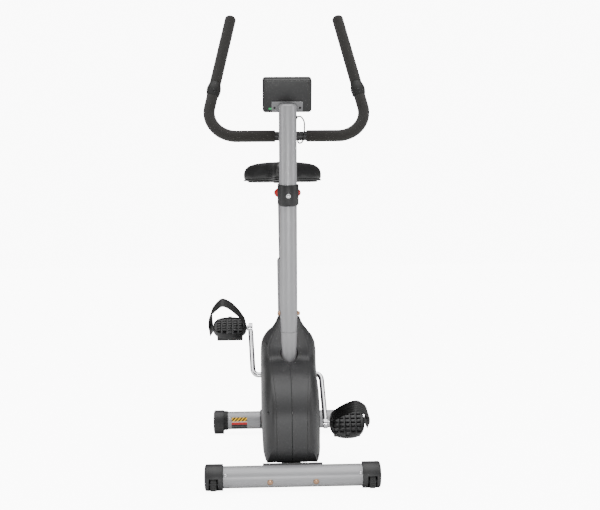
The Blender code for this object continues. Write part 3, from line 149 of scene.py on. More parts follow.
panel_light("front_panel", (0.4, -3.2, 2.6), (0, 0, 0.6), (2.4, 1.2), 12)
panel_light("left_panel", (-2.2, -0.9, 1.2), (0, 0, 0.6), (0.8, 2.4), 18)
panel_light("right_panel", (2.2, -0.9, 1.2), (0, 0, 0.6), (0.8, 2.4), 18)
panel_light("low_front_strip", (0, -4.4, 0.14), (0, 0, 0.25), (1.5, 0.14), 45)
SKY_POWER = 3.6
SKY_SPREAD = math.radians(70)
SKY_TILT = math.radians(6)
sky_data = bpy.data.lights.new("broad_overhead", "SUN")
sky_data.energy = SKY_POWER
sky_data.angle = SKY_SPREAD
sky = bpy.data.objects.new("broad_overhead", sky_data)
sky.rotation_euler = (SKY_TILT, 0, 0)
bpy.context.scene.collection.objects.link(sky)


# ---- floor tubes
# Two steel tubes across the bike, 60 mm over, in a silver-grey powder coat that was sprayed and
# baked. The baked powder leaves a faint orange peel and a satin gloss.
GAP = 0.0003
FLOOR_WIDTH = 0.480
FRONT_TUBE_Y = -0.400
REAR_TUBE_Y = 0.400
FRONT_TUBE_Z = 0.0355
REAR_TUBE_Z = 0.045
TUBE_R = 0.030
TUBE_WALL = 0.002
FRONT_CAP_LENGTH = 0.051
FOOT_WIDTH = 0.036
REAR_COLLAR_LENGTH = 0.013
TUBE_EDGE = 0.0005
WELD = 0.000005         # points closer than this are one point
SLIVER = 0.000001       # and edges shorter than this are taken out
AXIS_R = 0.00001        # the radius kept by a turned shape's points on its axis
RIBBED_SHARE = 0.6      # ribs are cut outside this share of a turned shape's rim
X_AXIS = Vector((1, 0, 0))
SIDES = {"left": -1, "right": 1}


def show(name, mesh, finish, body, replaced=(), sharp=32):
    """Put a piece in the scene, smooth it, and have it ride on a body of the frame."""
    mesh.materials.append(finish)
    mesh.shade_smooth()
    mesh.set_sharp_from_angle(angle=math.radians(sharp))
    piece = bpy.data.objects.new(name, mesh)
    bpy.context.scene.collection.objects.link(piece)
    if body:
        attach(piece, body)
    if replaced:
        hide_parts(*replaced)
    return piece


def loft(name, rings, loop=False):
    """A closed mesh through rings of points, either capped or joined from its last ring to its first."""
    shape = bmesh.new()
    rows = [[shape.verts.new(point) for point in ring] for ring in rings]
    if loop:
        rows.append(rows[0])
    for here, there in zip(rows, rows[1:]):
        for index in range(len(here)):
            after = (index + 1) % len(here)
            shape.faces.new((here[index], here[after], there[after], there[index]))
    if not loop:
        shape.faces.new(rows[0])
        shape.faces.new(rows[-1])
    bmesh.ops.remove_doubles(shape, verts=shape.verts, dist=WELD)
    bmesh.ops.dissolve_degenerate(shape, edges=shape.edges, dist=SLIVER)
    bmesh.ops.recalc_face_normals(shape, faces=shape.faces)
    mesh = bpy.data.meshes.new(name)
    shape.to_mesh(mesh)
    shape.free()
    return mesh


def square_frame(direction):
    """Two directions square to a given one."""
    along = Vector(direction).normalized()
    side = X_AXIS if abs(along.x) < 0.9 else Vector((0, 1, 0))
    across = (side - along * side.dot(along)).normalized()
    return across, along.cross(across)


def turned(name, profile, place, direction, steps=64, loop=False, ribs=0, rib_depth=0.0):
    """A turned shape from (along, radius) pairs, with ribs round its rim where asked."""
    along = Vector(direction).normalized()
    across, up = square_frame(along)
    rim = max(radius for _, radius in profile)
    rings = []
    for height, radius in profile:
        ring = []
        for step in range(steps):
            turn = 2 * math.pi * step / steps
            reach = max(radius, AXIS_R)
            if ribs and radius > RIBBED_SHARE * rim:
                reach -= rib_depth * (0.5 - 0.5 * math.cos(turn * ribs)) ** 2
            ring.append(Vector(place) + along * height + across * reach * math.cos(turn)
                        + up * reach * math.sin(turn))
        rings.append(ring)
    return loft(name, rings, loop)


def finely_textured(tree, shader, pattern, gloss, strength, depth):
    """Let a pattern vary the roughness between two values and stand out as fine relief."""
    sheen = put(tree, "ShaderNodeMapRange", {"To Min": gloss[0], "To Max": gloss[1]}, {"Value": pattern})
    tree.links.new(sheen.outputs["Result"], shader.inputs["Roughness"])
    relief = put(tree, "ShaderNodeBump", {"Strength": strength, "Distance": depth}, {"Height": pattern})
    tree.links.new(relief.outputs["Normal"], shader.inputs["Normal"])


def grey_powder_coat():
    """Silver-grey powder coat: satin, with a 1.5 mm orange peel and a slight tone drift."""
    made, tree, shader = finish_named("grey_powder_coat", "#969698", 0.36, 0.25)
    place = put(tree, "ShaderNodeTexCoord")
    peel = put(tree, "ShaderNodeTexNoise", {"Scale": 1 / 0.0015, "Detail": 3.0},
               {"Vector": place.outputs["Object"]})
    drift = put(tree, "ShaderNodeTexNoise", {"Scale": 1 / 0.12, "Detail": 1.0},
                {"Vector": place.outputs["Object"]})
    tone = put(tree, "ShaderNodeMix", {"data_type": "RGBA", 6: linear("#919193"), 7: linear("#9B9B9D")},
               {0: drift.outputs[0]})
    tree.links.new(tone.outputs[2], shader.inputs["Base Color"])
    finely_textured(tree, shader, peel.outputs[0], (0.32, 0.44), 0.25, 0.0001)
    return made


grey_paint = grey_powder_coat()
tube_places = {
    "front": (FRONT_TUBE_Y, FRONT_TUBE_Z, FLOOR_WIDTH / 2 - FRONT_CAP_LENGTH - GAP),
    "rear": (REAR_TUBE_Y, REAR_TUBE_Z, FLOOR_WIDTH / 2 - FOOT_WIDTH - REAR_COLLAR_LENGTH - GAP),
}
for end, (tube_y, tube_z, half) in tube_places.items():
    inner = TUBE_R - TUBE_WALL
    profile = [(half, inner), (half, TUBE_R - TUBE_EDGE), (half - TUBE_EDGE, TUBE_R),
               (TUBE_EDGE - half, TUBE_R), (-half, TUBE_R - TUBE_EDGE), (-half, inner)]
    mesh = turned(end + "_floor_tube", profile, (0, tube_y, tube_z), X_AXIS, 96, loop=True)
    show(end + "_floor_tube", mesh, grey_paint, "frame", [end + "_stabilizer"])


# ---- screws at the tube ends
# A bright pan-head screw holds each cap, driven from the tube's front. Its zinc plating is
# smooth, and a small recess is sunk in its head.
def zinc_plate(name, colour):
    """Zinc plate: bright, finely grained, a little uneven in gloss."""
    made, tree, shader = finish_named(name, colour, 0.3, 1.0)
    place = put(tree, "ShaderNodeTexCoord")
    grain = put(tree, "ShaderNodeTexNoise", {"Scale": 1 / 0.002, "Detail": 4.0},
                {"Vector": place.outputs["Object"]})
    finely_textured(tree, shader, grain.outputs[0], (0.22, 0.42), 0.2, 0.0001)
    return made


bright_zinc = zinc_plate("bright_zinc", "#D9D9DB")
warm_zinc = zinc_plate("yellow_passivated_zinc", "#A8876E")


def pan_screw(name, place, direction, radius, height, finish, body):
    """A domed screw head with a sunk recess, and the start of its shank."""
    profile = [(-0.002, radius * 0.5), (0, radius), (height * 0.35, radius * 0.97),
               (height * 0.7, radius * 0.80), (height * 0.93, radius * 0.50), (height, radius * 0.30),
               (height * 0.55, radius * 0.24), (height * 0.50, 0)]
    show(name, turned(name, profile, place, direction, 28), finish, body, sharp=50)


SCREW_R = 0.0042
SCREW_HEIGHT = 0.0020
SCREW_INSET = 0.006
SCREW_WAY = Vector((0, -0.93, 0.37)).normalized()
for end, (tube_y, tube_z, half) in tube_places.items():
    for side_name, side in SIDES.items():
        place = Vector((side * (half - SCREW_INSET), tube_y, tube_z)) + SCREW_WAY * (TUBE_R - 0.0002)
        pan_screw(f"{end}_cap_screw_{side_name}", place, SCREW_WAY, SCREW_R, SCREW_HEIGHT, bright_zinc,
                  "frame")


# ---- frame bolts
# Domed carriage bolts pass through each floor tube into the saddle brackets. They are zinc
# plated and passivated, which leaves a warm tint.
BOLT_SPACING = 0.124
BOLT_SLOPE = math.radians(20)
BOLT_R = 0.004
BOLT_HEAD_R = 0.0085
BRACKET_WALL = 0.005
for end, (tube_y, tube_z, half) in tube_places.items():
    facing = -1 if end == "front" else 1
    for side_name, side in SIDES.items():
        way = Vector((0, facing * math.cos(BOLT_SLOPE), -math.sin(BOLT_SLOPE)))
        centre = Vector((side * BOLT_SPACING / 2, tube_y, tube_z))
        under = TUBE_R - 0.0006
        behind = -(TUBE_R + BRACKET_WALL + 3 * GAP)
        profile = [(under + 0.0048, 0), (under + 0.0046, 0.002), (under + 0.0040, 0.0045),
                   (under + 0.0028, 0.0068), (under + 0.0014, 0.0082), (under, BOLT_HEAD_R),
                   (under, BOLT_R), (behind, BOLT_R), (behind, 0.0070), (behind - 0.0062, 0.0070),
                   (behind - 0.0070, 0.0062), (behind - 0.0070, 0)]
        name = f"{end}_carriage_bolt_{side_name}"
        mesh = turned(name, profile, centre, way, 40)
        show(name, mesh, warm_zinc, "frame", [f"{end}_bolt_{side_name}"], 40)


# ---- front end caps and transport wheels
# Moulded black polypropylene caps plugged into the front tube, each with a wheel on a moulded
# pin. The moulding has a fine spark-eroded grain; the rubber wheels are ribbed for grip.
FRONT_CAP_R = 0.036
PLUG_LENGTH = 0.030
WHEEL_R = 0.019
WHEEL_WIDTH = 0.016
WHEEL_SLOT = 0.025
WHEEL_INSET = 0.0255
WHEEL_AHEAD = 0.021     # from the tube's axis to the wheel's
WHEEL_LIFT = 0.0025     # from the floor to the tread, with the bike standing level
WHEEL_PIN_R = 0.003
SLOT_ROOM = 0.0035      # round the wheel in its cap
FLOOR_CUT = (0.2, 0.12, 0.04)


def grained_plastic(name, colour, roughness, grain_mm=0.9, strength=0.35):
    """Moulded plastic with a spark-eroded grain, drawn a little coarse so that it shows."""
    made, tree, shader = finish_named(name, colour, roughness, IOR=1.49)
    place = put(tree, "ShaderNodeTexCoord")
    grain = put(tree, "ShaderNodeTexNoise", {"Scale": 1000 / grain_mm, "Detail": 4.0, "Roughness": 0.65},
                {"Vector": place.outputs["Object"]})
    flow = put(tree, "ShaderNodeTexNoise", {"Scale": 1 / 0.09, "Detail": 2.0},
               {"Vector": place.outputs["Object"]})
    base = linear(colour)
    lighter = [min(channel * 1.18, 1) for channel in base[:3]] + [1]
    tone = put(tree, "ShaderNodeMix", {"data_type": "RGBA", 6: base, 7: lighter}, {0: flow.outputs[0]})
    tree.links.new(tone.outputs[2], shader.inputs["Base Color"])
    finely_textured(tree, shader, grain.outputs[0], (roughness - 0.06, roughness + 0.08), strength, 0.0001)
    return made


cap_plastic = grained_plastic("cap_polypropylene", "#1D1D1E", 0.48)
wheel_rubber = grained_plastic("wheel_rubber", "#1E1E1E", 0.62, 1.5, 0.5)


def settle(piece):
    """Keep what a piece's modifiers make of it as its mesh."""
    bpy.context.view_layer.update()
    graph = bpy.context.evaluated_depsgraph_get()
    mesh = bpy.data.meshes.new_from_object(piece.evaluated_get(graph))
    piece.modifiers.clear()
    piece.data = mesh
    mesh.shade_smooth()
    mesh.set_sharp_from_angle(angle=math.radians(32))


def carve(piece, *shapes, operation="DIFFERENCE"):
    """Cut shapes out of a piece, or with UNION merge them into it."""
    for shape in shapes:
        change = piece.modifiers.new("carve", "BOOLEAN")
        change.operation = operation
        change.object = shape
    settle(piece)
    for shape in shapes:
        bpy.data.objects.remove(shape, do_unlink=True)


def loose(mesh):
    """A shape to carve with, which is not a piece of the bike."""
    shape = bpy.data.objects.new(mesh.name, mesh)
    bpy.context.scene.collection.objects.link(shape)
    return shape


def bar(name, start, end, radius, steps=40):
    """A plain round bar between two points."""
    run = Vector(end) - Vector(start)
    return turned(name, [(0, 0), (0, radius), (run.length, radius), (run.length, 0)], start, run, steps)


def block(name, size, place, bevel=0.0, segments=3):
    """A block in its own frame, with its edges rounded."""
    shape = bmesh.new()
    bmesh.ops.create_cube(shape, size=1.0)
    bmesh.ops.scale(shape, vec=Vector(size), verts=shape.verts)
    if bevel:
        bmesh.ops.bevel(shape, geom=list(shape.edges), offset=bevel, segments=segments, profile=0.5,
                        affect="EDGES")
    shape.transform(place)
    mesh = bpy.data.meshes.new(name)
    shape.to_mesh(mesh)
    shape.free()
    return mesh


def floor_cut(x, y):
    """A shape that takes off what would reach below the floor at a place."""
    return loose(block("floor_cut", FLOOR_CUT, Matrix.Translation((x, y, -FLOOR_CUT[2] / 2))))


for side_name, side in SIDES.items():
    end = FLOOR_WIDTH / 2
    seat = end - FRONT_CAP_LENGTH
    plug = TUBE_R - TUBE_WALL - GAP
    profile = [(end, 0), (end - 0.0002, 0.012), (end - 0.0008, 0.024), (end - 0.0020, 0.031),
               (end - 0.0036, 0.0345), (end - 0.0060, FRONT_CAP_R), (seat + 0.0012, FRONT_CAP_R),
               (seat + 0.0003, FRONT_CAP_R - 0.0004), (seat, FRONT_CAP_R - 0.0012), (seat, plug),
               (seat - PLUG_LENGTH, plug), (seat - PLUG_LENGTH, 0)]
    centre = Vector((0, FRONT_TUBE_Y, FRONT_TUBE_Z))
    hub = Vector((side * (end - WHEEL_INSET), FRONT_TUBE_Y - WHEEL_AHEAD, WHEEL_R + WHEEL_LIFT))
    name = "front_end_cap_" + side_name
    cap = show(name, turned(name, profile, centre, X_AXIS * side, 96), cap_plastic, "frame",
               ["front_cap_" + side_name])
    half = X_AXIS * WHEEL_SLOT / 2
    carve(cap, loose(bar("slot", hub - half, hub + half, WHEEL_R + SLOT_ROOM, 64)),
          floor_cut(side * end, FRONT_TUBE_Y))
    reach = X_AXIS * (WHEEL_SLOT / 2 + 0.001)
    name = "wheel_pin_" + side_name
    show(name, bar(name, hub - reach, hub + reach, WHEEL_PIN_R), cap_plastic, "frame")
    half_w = WHEEL_WIDTH / 2
    bore = WHEEL_PIN_R + GAP
    profile = [(half_w, bore), (half_w, 0.008), (half_w - 0.002, 0.009), (half_w - 0.002, 0.0145),
               (half_w, 0.0155), (half_w, WHEEL_R - 0.0015), (half_w - 0.0012, WHEEL_R),
               (0.0012 - half_w, WHEEL_R), (-half_w, WHEEL_R - 0.0015), (-half_w, 0.0155),
               (0.002 - half_w, 0.0145), (0.002 - half_w, 0.009), (-half_w, 0.008), (-half_w, bore)]
    name = "ribbed_wheel_" + side_name
    mesh = turned(name, profile, hub, X_AXIS, 144, loop=True, ribs=24, rib_depth=0.0016)
    show(name, mesh, wheel_rubber, "wheel_" + side_name, ["transport_wheel_" + side_name], 25)


# ---- rear collars and levelling feet
# A ribbed collar plugs into each end of the rear tube, and an eccentric foot turns on it to
# level the bike. Both are moulded in the same black polypropylene as the front caps.
REAR_COLLAR_R = 0.033
SPIGOT_R = 0.026
FOOT_R = 0.0403
FOOT_OFFSET = 0.005
COLLAR_RIBS = 4
for side_name, side in SIDES.items():
    outer = FLOOR_WIDTH / 2
    collar_end = outer - FOOT_WIDTH
    seat = collar_end - REAR_COLLAR_LENGTH
    plug = TUBE_R - TUBE_WALL - GAP
    ribs = []
    for rib in range(COLLAR_RIBS):
        at = collar_end - rib * REAR_COLLAR_LENGTH / COLLAR_RIBS
        ribs += [(at, REAR_COLLAR_R - 0.0008), (at - 0.0006, REAR_COLLAR_R), (at - 0.0022, REAR_COLLAR_R),
                 (at - 0.0028, REAR_COLLAR_R - 0.0010)]
    tip = outer - 0.006
    profile = [(tip, 0), (tip, SPIGOT_R), (collar_end, SPIGOT_R)] + ribs
    profile += [(seat, REAR_COLLAR_R - 0.001), (seat, plug), (seat - PLUG_LENGTH, plug),
                (seat - PLUG_LENGTH, 0)]
    name = "rear_collar_" + side_name
    mesh = turned(name, profile, (0, REAR_TUBE_Y, REAR_TUBE_Z), X_AXIS * side, 80)
    show(name, mesh, cap_plastic, "frame", ["rear_cap_" + side_name])
    inner = collar_end + GAP
    width = outer - inner
    profile = [(width, 0), (width - 0.0001, 0.020), (width - 0.0010, 0.031), (width - 0.0028, 0.0375),
               (width - 0.0052, FOOT_R), (0.0015, FOOT_R), (0.0004, FOOT_R - 0.0004),
               (0, FOOT_R - 0.0015), (0, 0)]
    centre = Vector((side * inner, REAR_TUBE_Y, REAR_TUBE_Z - FOOT_OFFSET))
    name = "eccentric_foot_" + side_name
    foot = show(name, turned(name, profile, centre, X_AXIS * side, 96), cap_plastic, "foot_" + side_name,
                ["leveling_foot_" + side_name])
    axis = Vector((0, REAR_TUBE_Y, REAR_TUBE_Z))
    hole = bar("bore", axis + X_AXIS * side * (inner - 0.01), axis + X_AXIS * side * (outer - 0.0055),
               SPIGOT_R + 0.0006, 64)
    carve(foot, loose(hole), floor_cut(side * outer, REAR_TUBE_Y))


# ---- striped label
# A plain caution-striped label of printed vinyl film, wrapped round the front of the rear
# tube. It has coloured bands only, with no words or signs.
LABEL_WIDTH = 0.052
LABEL_FROM = math.radians(-56)
LABEL_TO = math.radians(28)
LABEL_X = -0.152
LABEL_STEPS = 24
FILM = 0.00035
STRIPE = 0.006


def striped_film():
    """Printed film: yellow and black slanted bars 6 mm wide, then red, black and grey bands."""
    made, tree, shader = finish_named("printed_vinyl_film", "#E8B800", 0.38)
    place = put(tree, "ShaderNodeTexCoord")
    axes = put(tree, "ShaderNodeSeparateXYZ", {}, {"Vector": place.outputs["Object"]})
    slant = put(tree, "ShaderNodeMath", {"operation": "SUBTRACT"},
                {0: axes.outputs["X"], 1: axes.outputs["Z"]})
    pitch = put(tree, "ShaderNodeMath", {"operation": "MODULO", 1: 2 * STRIPE}, {0: slant.outputs[0]})
    size = put(tree, "ShaderNodeMath", {"operation": "ABSOLUTE"}, {0: pitch.outputs[0]})
    bars = put(tree, "ShaderNodeMath", {"operation": "GREATER_THAN", 1: STRIPE}, {0: size.outputs[0]})
    striped = put(tree, "ShaderNodeMix", {"data_type": "RGBA", 6: linear("#FFC400"), 7: linear("#0C0C0C")},
                  {0: bars.outputs[0]})
    height = put(tree, "ShaderNodeMapRange",
                 {"From Min": REAR_TUBE_Z - 0.026, "From Max": REAR_TUBE_Z + 0.014},
                 {"Value": axes.outputs["Z"]})
    bands = put(tree, "ShaderNodeValToRGB", {}, {"Fac": height.outputs["Result"]})
    ramp = bands.color_ramp
    ramp.interpolation = "CONSTANT"
    ramp.elements[0].position = 0.0
    ramp.elements[0].color = linear("#1B1B1B")
    ramp.elements[1].position = 0.16
    ramp.elements[1].color = linear("#4A4A4A")
    for position, colour in ((0.26, "#171717"), (0.40, "#C4170F"), (0.60, "#D8CFC8")):
        stop = ramp.elements.new(position)
        stop.color = linear(colour)
    top = put(tree, "ShaderNodeMath", {"operation": "GREATER_THAN", 1: REAR_TUBE_Z + 0.0010},
              {0: axes.outputs["Z"]})
    printed = put(tree, "ShaderNodeMix", {"data_type": "RGBA"},
                  {0: top.outputs[0], 6: bands.outputs["Color"], 7: striped.outputs[2]})
    tree.links.new(printed.outputs[2], shader.inputs["Base Color"])
    wear = put(tree, "ShaderNodeTexNoise", {"Scale": 1 / 0.004}, {"Vector": place.outputs["Object"]})
    gloss = put(tree, "ShaderNodeMapRange", {"To Min": 0.30, "To Max": 0.48}, {"Value": wear.outputs[0]})
    tree.links.new(gloss.outputs["Result"], shader.inputs["Roughness"])
    return made


label_rings = []
for radius in (TUBE_R + FILM, TUBE_R + 0.00005):
    label_rings.append([])
    for step in range(LABEL_STEPS + 1):
        turn = LABEL_FROM + (LABEL_TO - LABEL_FROM) * step / LABEL_STEPS
        label_rings[-1].append((REAR_TUBE_Y - radius * math.cos(turn), REAR_TUBE_Z + radius * math.sin(turn)))
outline = label_rings[0] + list(reversed(label_rings[1]))
rings = [[Vector((LABEL_X + shift * LABEL_WIDTH / 2, y, z)) for y, z in outline] for shift in (-1, 1)]
show("striped_label", loft("striped_label", rings), striped_film(), "frame")


# ---- base beam
# A rectangular steel tube with a curved saddle bracket welded at each end, in black powder
# coat. It is the plain part as built, finished with the coat's fine texture.
def black_powder_coat():
    """Black powder coat: a 1 mm leathery texture, semi-matt."""
    made, tree, shader = finish_named("black_powder_coat", "#1C1C1D", 0.42, 0.1)
    place = put(tree, "ShaderNodeTexCoord")
    peel = put(tree, "ShaderNodeTexNoise", {"Scale": 1 / 0.001, "Detail": 3.0},
               {"Vector": place.outputs["Object"]})
    finely_textured(tree, shader, peel.outputs[0], (0.34, 0.52), 0.3, 0.0001)
    return made


def finish_nodes(finish, *names):
    """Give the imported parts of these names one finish."""
    for node_name in names:
        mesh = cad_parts[node_name].data
        mesh.materials.clear()
        mesh.materials.append(finish)


black_steel = black_powder_coat()
finish_nodes(black_steel, "main_beam")


# ---- post stub, seat tube and handlebar post
# Round steel tubes, 50 mm over, in the same silver-grey coat. The stub and the seat tube are
# welded to the beam; the handlebar post slips over the stub and is closed by a rounded top.
POST_R = 0.025
POST_WALL = 0.0019
POST_LEAN = math.radians(8)
SEAM = Vector((0, -0.200, 0.410))
POST_LENGTH = 0.649
INSERT_LENGTH = 0.090
UP_POST = Vector((0, -math.sin(POST_LEAN), math.cos(POST_LEAN)))
BACK_OF_POST = Vector((0, math.cos(POST_LEAN), math.sin(POST_LEAN)))
BEAM_TOP = 0.064
CRANK = Vector((0, 0, 0.256))
SEAT_LEAN = math.radians(16.2)
UP_SEAT = Vector((0, math.sin(SEAT_LEAN), math.cos(SEAT_LEAN)))
BACK_OF_SEAT = Vector((0, math.cos(SEAT_LEAN), -math.sin(SEAT_LEAN)))
SEAT_TUBE_LENGTH = 0.360
SHELL_HALF = 0.026
LEAD_EXIT_AT = 0.611    # up the post from the seam, as is the collar
COLLAR_AT = 0.394
BEAM_CUT = (0.2, 1.0, 0.1)


def trim_to_beam(piece, *cutters):
    """End a tube on the beam's top, with other cuts made at the same time."""
    under = Matrix.Translation((0, 0, BEAM_TOP + GAP - BEAM_CUT[2] / 2))
    carve(piece, *cutters, loose(block("beam_cut", BEAM_CUT, under)))


reach = (SEAM.z - BEAM_TOP) / math.cos(POST_LEAN) + 0.01
plug = POST_R - POST_WALL - GAP
profile = [(INSERT_LENGTH, plug - POST_WALL), (INSERT_LENGTH, plug), (-GAP, plug), (-GAP, POST_R - 0.0006),
           (-GAP - 0.0006, POST_R), (-reach, POST_R), (-reach, plug - POST_WALL)]
mesh = turned("post_stub_tube", profile, SEAM, UP_POST, 96, loop=True)
stub = show("post_stub_tube", mesh, grey_paint, "frame", ["post_stub"])
outlet = SEAM - UP_POST * 0.110
trim_to_beam(stub, loose(bar("outlet", outlet, outlet - BACK_OF_POST * 0.04, 0.006)))

foot = CRANK - UP_SEAT * (CRANK.z / math.cos(SEAT_LEAN))
mouth = CRANK + UP_SEAT * SEAT_TUBE_LENGTH
mesh = bar("seat_tube_welded", foot, mouth, POST_R, 96)
tube = show("seat_tube_welded", mesh, grey_paint, "frame", ["seat_tube"])
SEAT_BORE_R = 0.0225 + GAP
knob_place = mouth - UP_SEAT * 0.045 + BACK_OF_SEAT * POST_R
trim_to_beam(
    tube, loose(bar("bore", CRANK + UP_SEAT * 0.080, mouth + UP_SEAT * 0.01, SEAT_BORE_R, 64)),
    loose(bar("shell_gap", CRANK - X_AXIS * 0.03, CRANK + X_AXIS * 0.03, 0.0219, 64)),
    loose(bar("pin_hole", knob_place - BACK_OF_SEAT * 0.01, knob_place + BACK_OF_SEAT * 0.03, 0.0062)))
profile = [(SHELL_HALF, 0.0175), (SHELL_HALF, 0.0215), (SHELL_HALF - 0.0005, 0.022),
           (0.0005 - SHELL_HALF, 0.022), (-SHELL_HALF, 0.0215), (-SHELL_HALF, 0.0175)]
show("bottom_bracket_shell", turned("bottom_bracket_shell", profile, CRANK, X_AXIS, 72, loop=True),
     grey_paint, "frame")

inner = POST_R - POST_WALL
profile = [(POST_LENGTH, 0), (POST_LENGTH - 0.0002, POST_R - 0.010), (POST_LENGTH - 0.0012, POST_R - 0.005),
           (POST_LENGTH - 0.0030, POST_R - 0.002), (POST_LENGTH - 0.0062, POST_R - 0.0003),
           (POST_LENGTH - 0.0080, POST_R), (GAP + 0.0006, POST_R), (GAP, POST_R - 0.0006), (GAP, inner),
           (POST_LENGTH - 0.004, inner), (POST_LENGTH - 0.004, 0)]
mesh = turned("handlebar_post_tube", profile, SEAM, UP_POST, 96)
post = show("handlebar_post_tube", mesh, grey_paint, "frame", ["handlebar_post"])
LEAD_EXIT = SEAM + UP_POST * LEAD_EXIT_AT + X_AXIS * POST_R
collar_at = SEAM + UP_POST * COLLAR_AT
carve(post, loose(bar("lead_hole", LEAD_EXIT - X_AXIS * 0.01, LEAD_EXIT + X_AXIS * 0.02, 0.0045)),
      loose(bar("stem_hole", collar_at, collar_at + BACK_OF_POST * 0.04, 0.009)))


# ---- post bolts
# Flanged bolts, one each side, clamp the post on its stub. They are passivated zinc.
POST_BOLT_AT = 0.052
for side_name, side in SIDES.items():
    at = SEAM + UP_POST * POST_BOLT_AT + X_AXIS * side * POST_R
    profile = [(0.0052, 0), (0.0052, 0.0026), (0.0075, 0.0030), (0.0075, 0.0044), (0.0066, 0.0052),
               (0.0034, 0.0058), (0.0030, 0.0076), (0.0022, 0.0078), (GAP, 0.0078), (GAP, 0.004),
               (-0.006, 0.004), (-0.006, 0)]
    name = "post_clamp_bolt_" + side_name
    mesh = turned(name, profile, at, X_AXIS * side, 36)
    show(name, mesh, warm_zinc, "frame", ["post_bolt_" + side_name])


# ---- crank and bearings
# A one-piece crank, forged and bent from 16 mm rod and chrome plated, runs in pressed cups in
# the bottom bracket shell. Chrome is near mirror-smooth, with only faint polishing waves.
CRANK_ROD_R = 0.008
CRANK_ARM = 0.165
CRANK_ANGLE = math.radians(35)
CRANK_EXIT = 0.088
BEND_R = 0.022
BEND_STEPS = 16
BEND_SQUEEZE = 0.75     # the bend is this much tighter across the bike
PEDAL_EYE_X = 0.110
EYE_R = 0.015
EYE_WIDTH = 0.013


def plated_chrome():
    """Chrome plate: a near mirror, with polishing waves about 12 mm long."""
    made, tree, shader = finish_named("plated_chrome", "#DADADC", 0.08, 1.0)
    place = put(tree, "ShaderNodeTexCoord")
    wave = put(tree, "ShaderNodeTexNoise", {"Scale": 1 / 0.012, "Detail": 2.0},
               {"Vector": place.outputs["Object"]})
    finely_textured(tree, shader, wave.outputs[0], (0.05, 0.14), 0.05, 0.0002)
    return made


def swept(name, points, radius, steps=48, wall=0.0, round_ends=0.0):
    """A round bar or tube along a line of points, turning with the line and never twisting.

    A wall makes it a tube, and round_ends is the radius of its rounded ends.
    """
    line = [Vector(point) for point in points]
    tangents = []
    for index in range(len(line)):
        before, after = line[max(index - 1, 0)], line[min(index + 1, len(line) - 1)]
        tangents.append((after - before).normalized())
    across, up = square_frame(tangents[0])
    frames = []
    for tangent in tangents:
        across = (across - tangent * across.dot(tangent)).normalized()
        frames.append((across, tangent.cross(across)))

    def ring(index, size, shift=0.0):
        a, b = frames[index]
        centre = line[index] + tangents[index] * shift
        return [centre + a * size * math.cos(2 * math.pi * step / steps)
                + b * size * math.sin(2 * math.pi * step / steps) for step in range(steps)]

    rings = []
    last = len(line) - 1
    if round_ends:
        rings += [ring(0, radius - round_ends), ring(0, radius - 0.3 * round_ends, 0.3 * round_ends)]
        rings += [ring(0, radius, round_ends)]
    for index in range(1 if round_ends else 0, last if round_ends else last + 1):
        rings.append(ring(index, radius))
    if round_ends:
        rings += [ring(last, radius, -round_ends), ring(last, radius - 0.3 * round_ends, -0.3 * round_ends)]
        rings += [ring(last, radius - round_ends)]
    if wall:
        rings += [ring(index, radius - wall) for index in range(last, -1, -1)]
    return loft(name, rings, loop=bool(wall))


def smooth_curve(points, steps, closed=False):
    """A Catmull-Rom curve through the points, with a number of steps between each two."""
    knots = [Vector(point) for point in points]
    spans = len(knots) if closed else len(knots) - 1
    made = []
    for index in range(spans):
        four = [index + shift for shift in (-1, 0, 1, 2)]
        four = [at % len(knots) if closed else min(max(at, 0), len(knots) - 1) for at in four]
        before, start, end, after = (knots[at] for at in four)
        for step in range(steps):
            t = step / steps
            square = 2 * before - 5 * start + 4 * end - after
            cube = 3 * start - before - 3 * end + after
            made.append(0.5 * (2 * start + (end - before) * t + square * t * t + cube * t ** 3))
    if not closed:
        made.append(knots[-1])
    return made


def eased(low, high, value):
    """From 0 at one value to 1 at another, with a soft start and end."""
    share = min(max((value - low) / (high - low), 0), 1)
    return share * share * (3 - 2 * share)


def arm_way(side):
    """One crank arm points up and back, the other down and forward."""
    return Vector((0, math.sin(CRANK_ANGLE), math.cos(CRANK_ANGLE))) * -side


def pedal_eye(side):
    """The middle of the eye at the end of a crank arm."""
    return Vector((side * PEDAL_EYE_X, 0, CRANK.z)) + arm_way(side) * CRANK_ARM


chrome = plated_chrome()
half_line = [Vector((CRANK_EXIT, 0, CRANK.z))]
for step in range(1, BEND_STEPS + 1):
    turn = math.radians(step * 90 / BEND_STEPS)
    half_line.append(half_line[0] + X_AXIS * BEND_R * math.sin(turn) * BEND_SQUEEZE
                     + arm_way(1) * BEND_R * (1 - math.cos(turn)))
half_line.append(pedal_eye(1) - arm_way(1) * (EYE_R - 0.004))
other_half = [Vector((-point.x, -point.y, 2 * CRANK.z - point.z)) for point in half_line]
mesh = swept("crank_forging", list(reversed(other_half)) + half_line, CRANK_ROD_R, 40)
show("crank_forging", mesh, chrome, "crankset", ["crank"])
for side_name, side in SIDES.items():
    half = EYE_WIDTH / 2
    profile = [(half, 0.0063), (half, EYE_R - 0.0012), (half - 0.0012, EYE_R), (0.0012 - half, EYE_R),
               (-half, EYE_R - 0.0012), (-half, 0.0063)]
    name = "crank_eye_" + side_name
    mesh = turned(name, profile, pedal_eye(side), X_AXIS, 64, loop=True)
    show(name, mesh, chrome, "crankset")
finish_nodes(bright_zinc, "bearing_cup_left", "bearing_cup_right", "flywheel_shaft")
finish_nodes(black_steel, "flywheel_cradle", "magnet_bracket")
finish_nodes(cap_plastic, "drive_pulley")


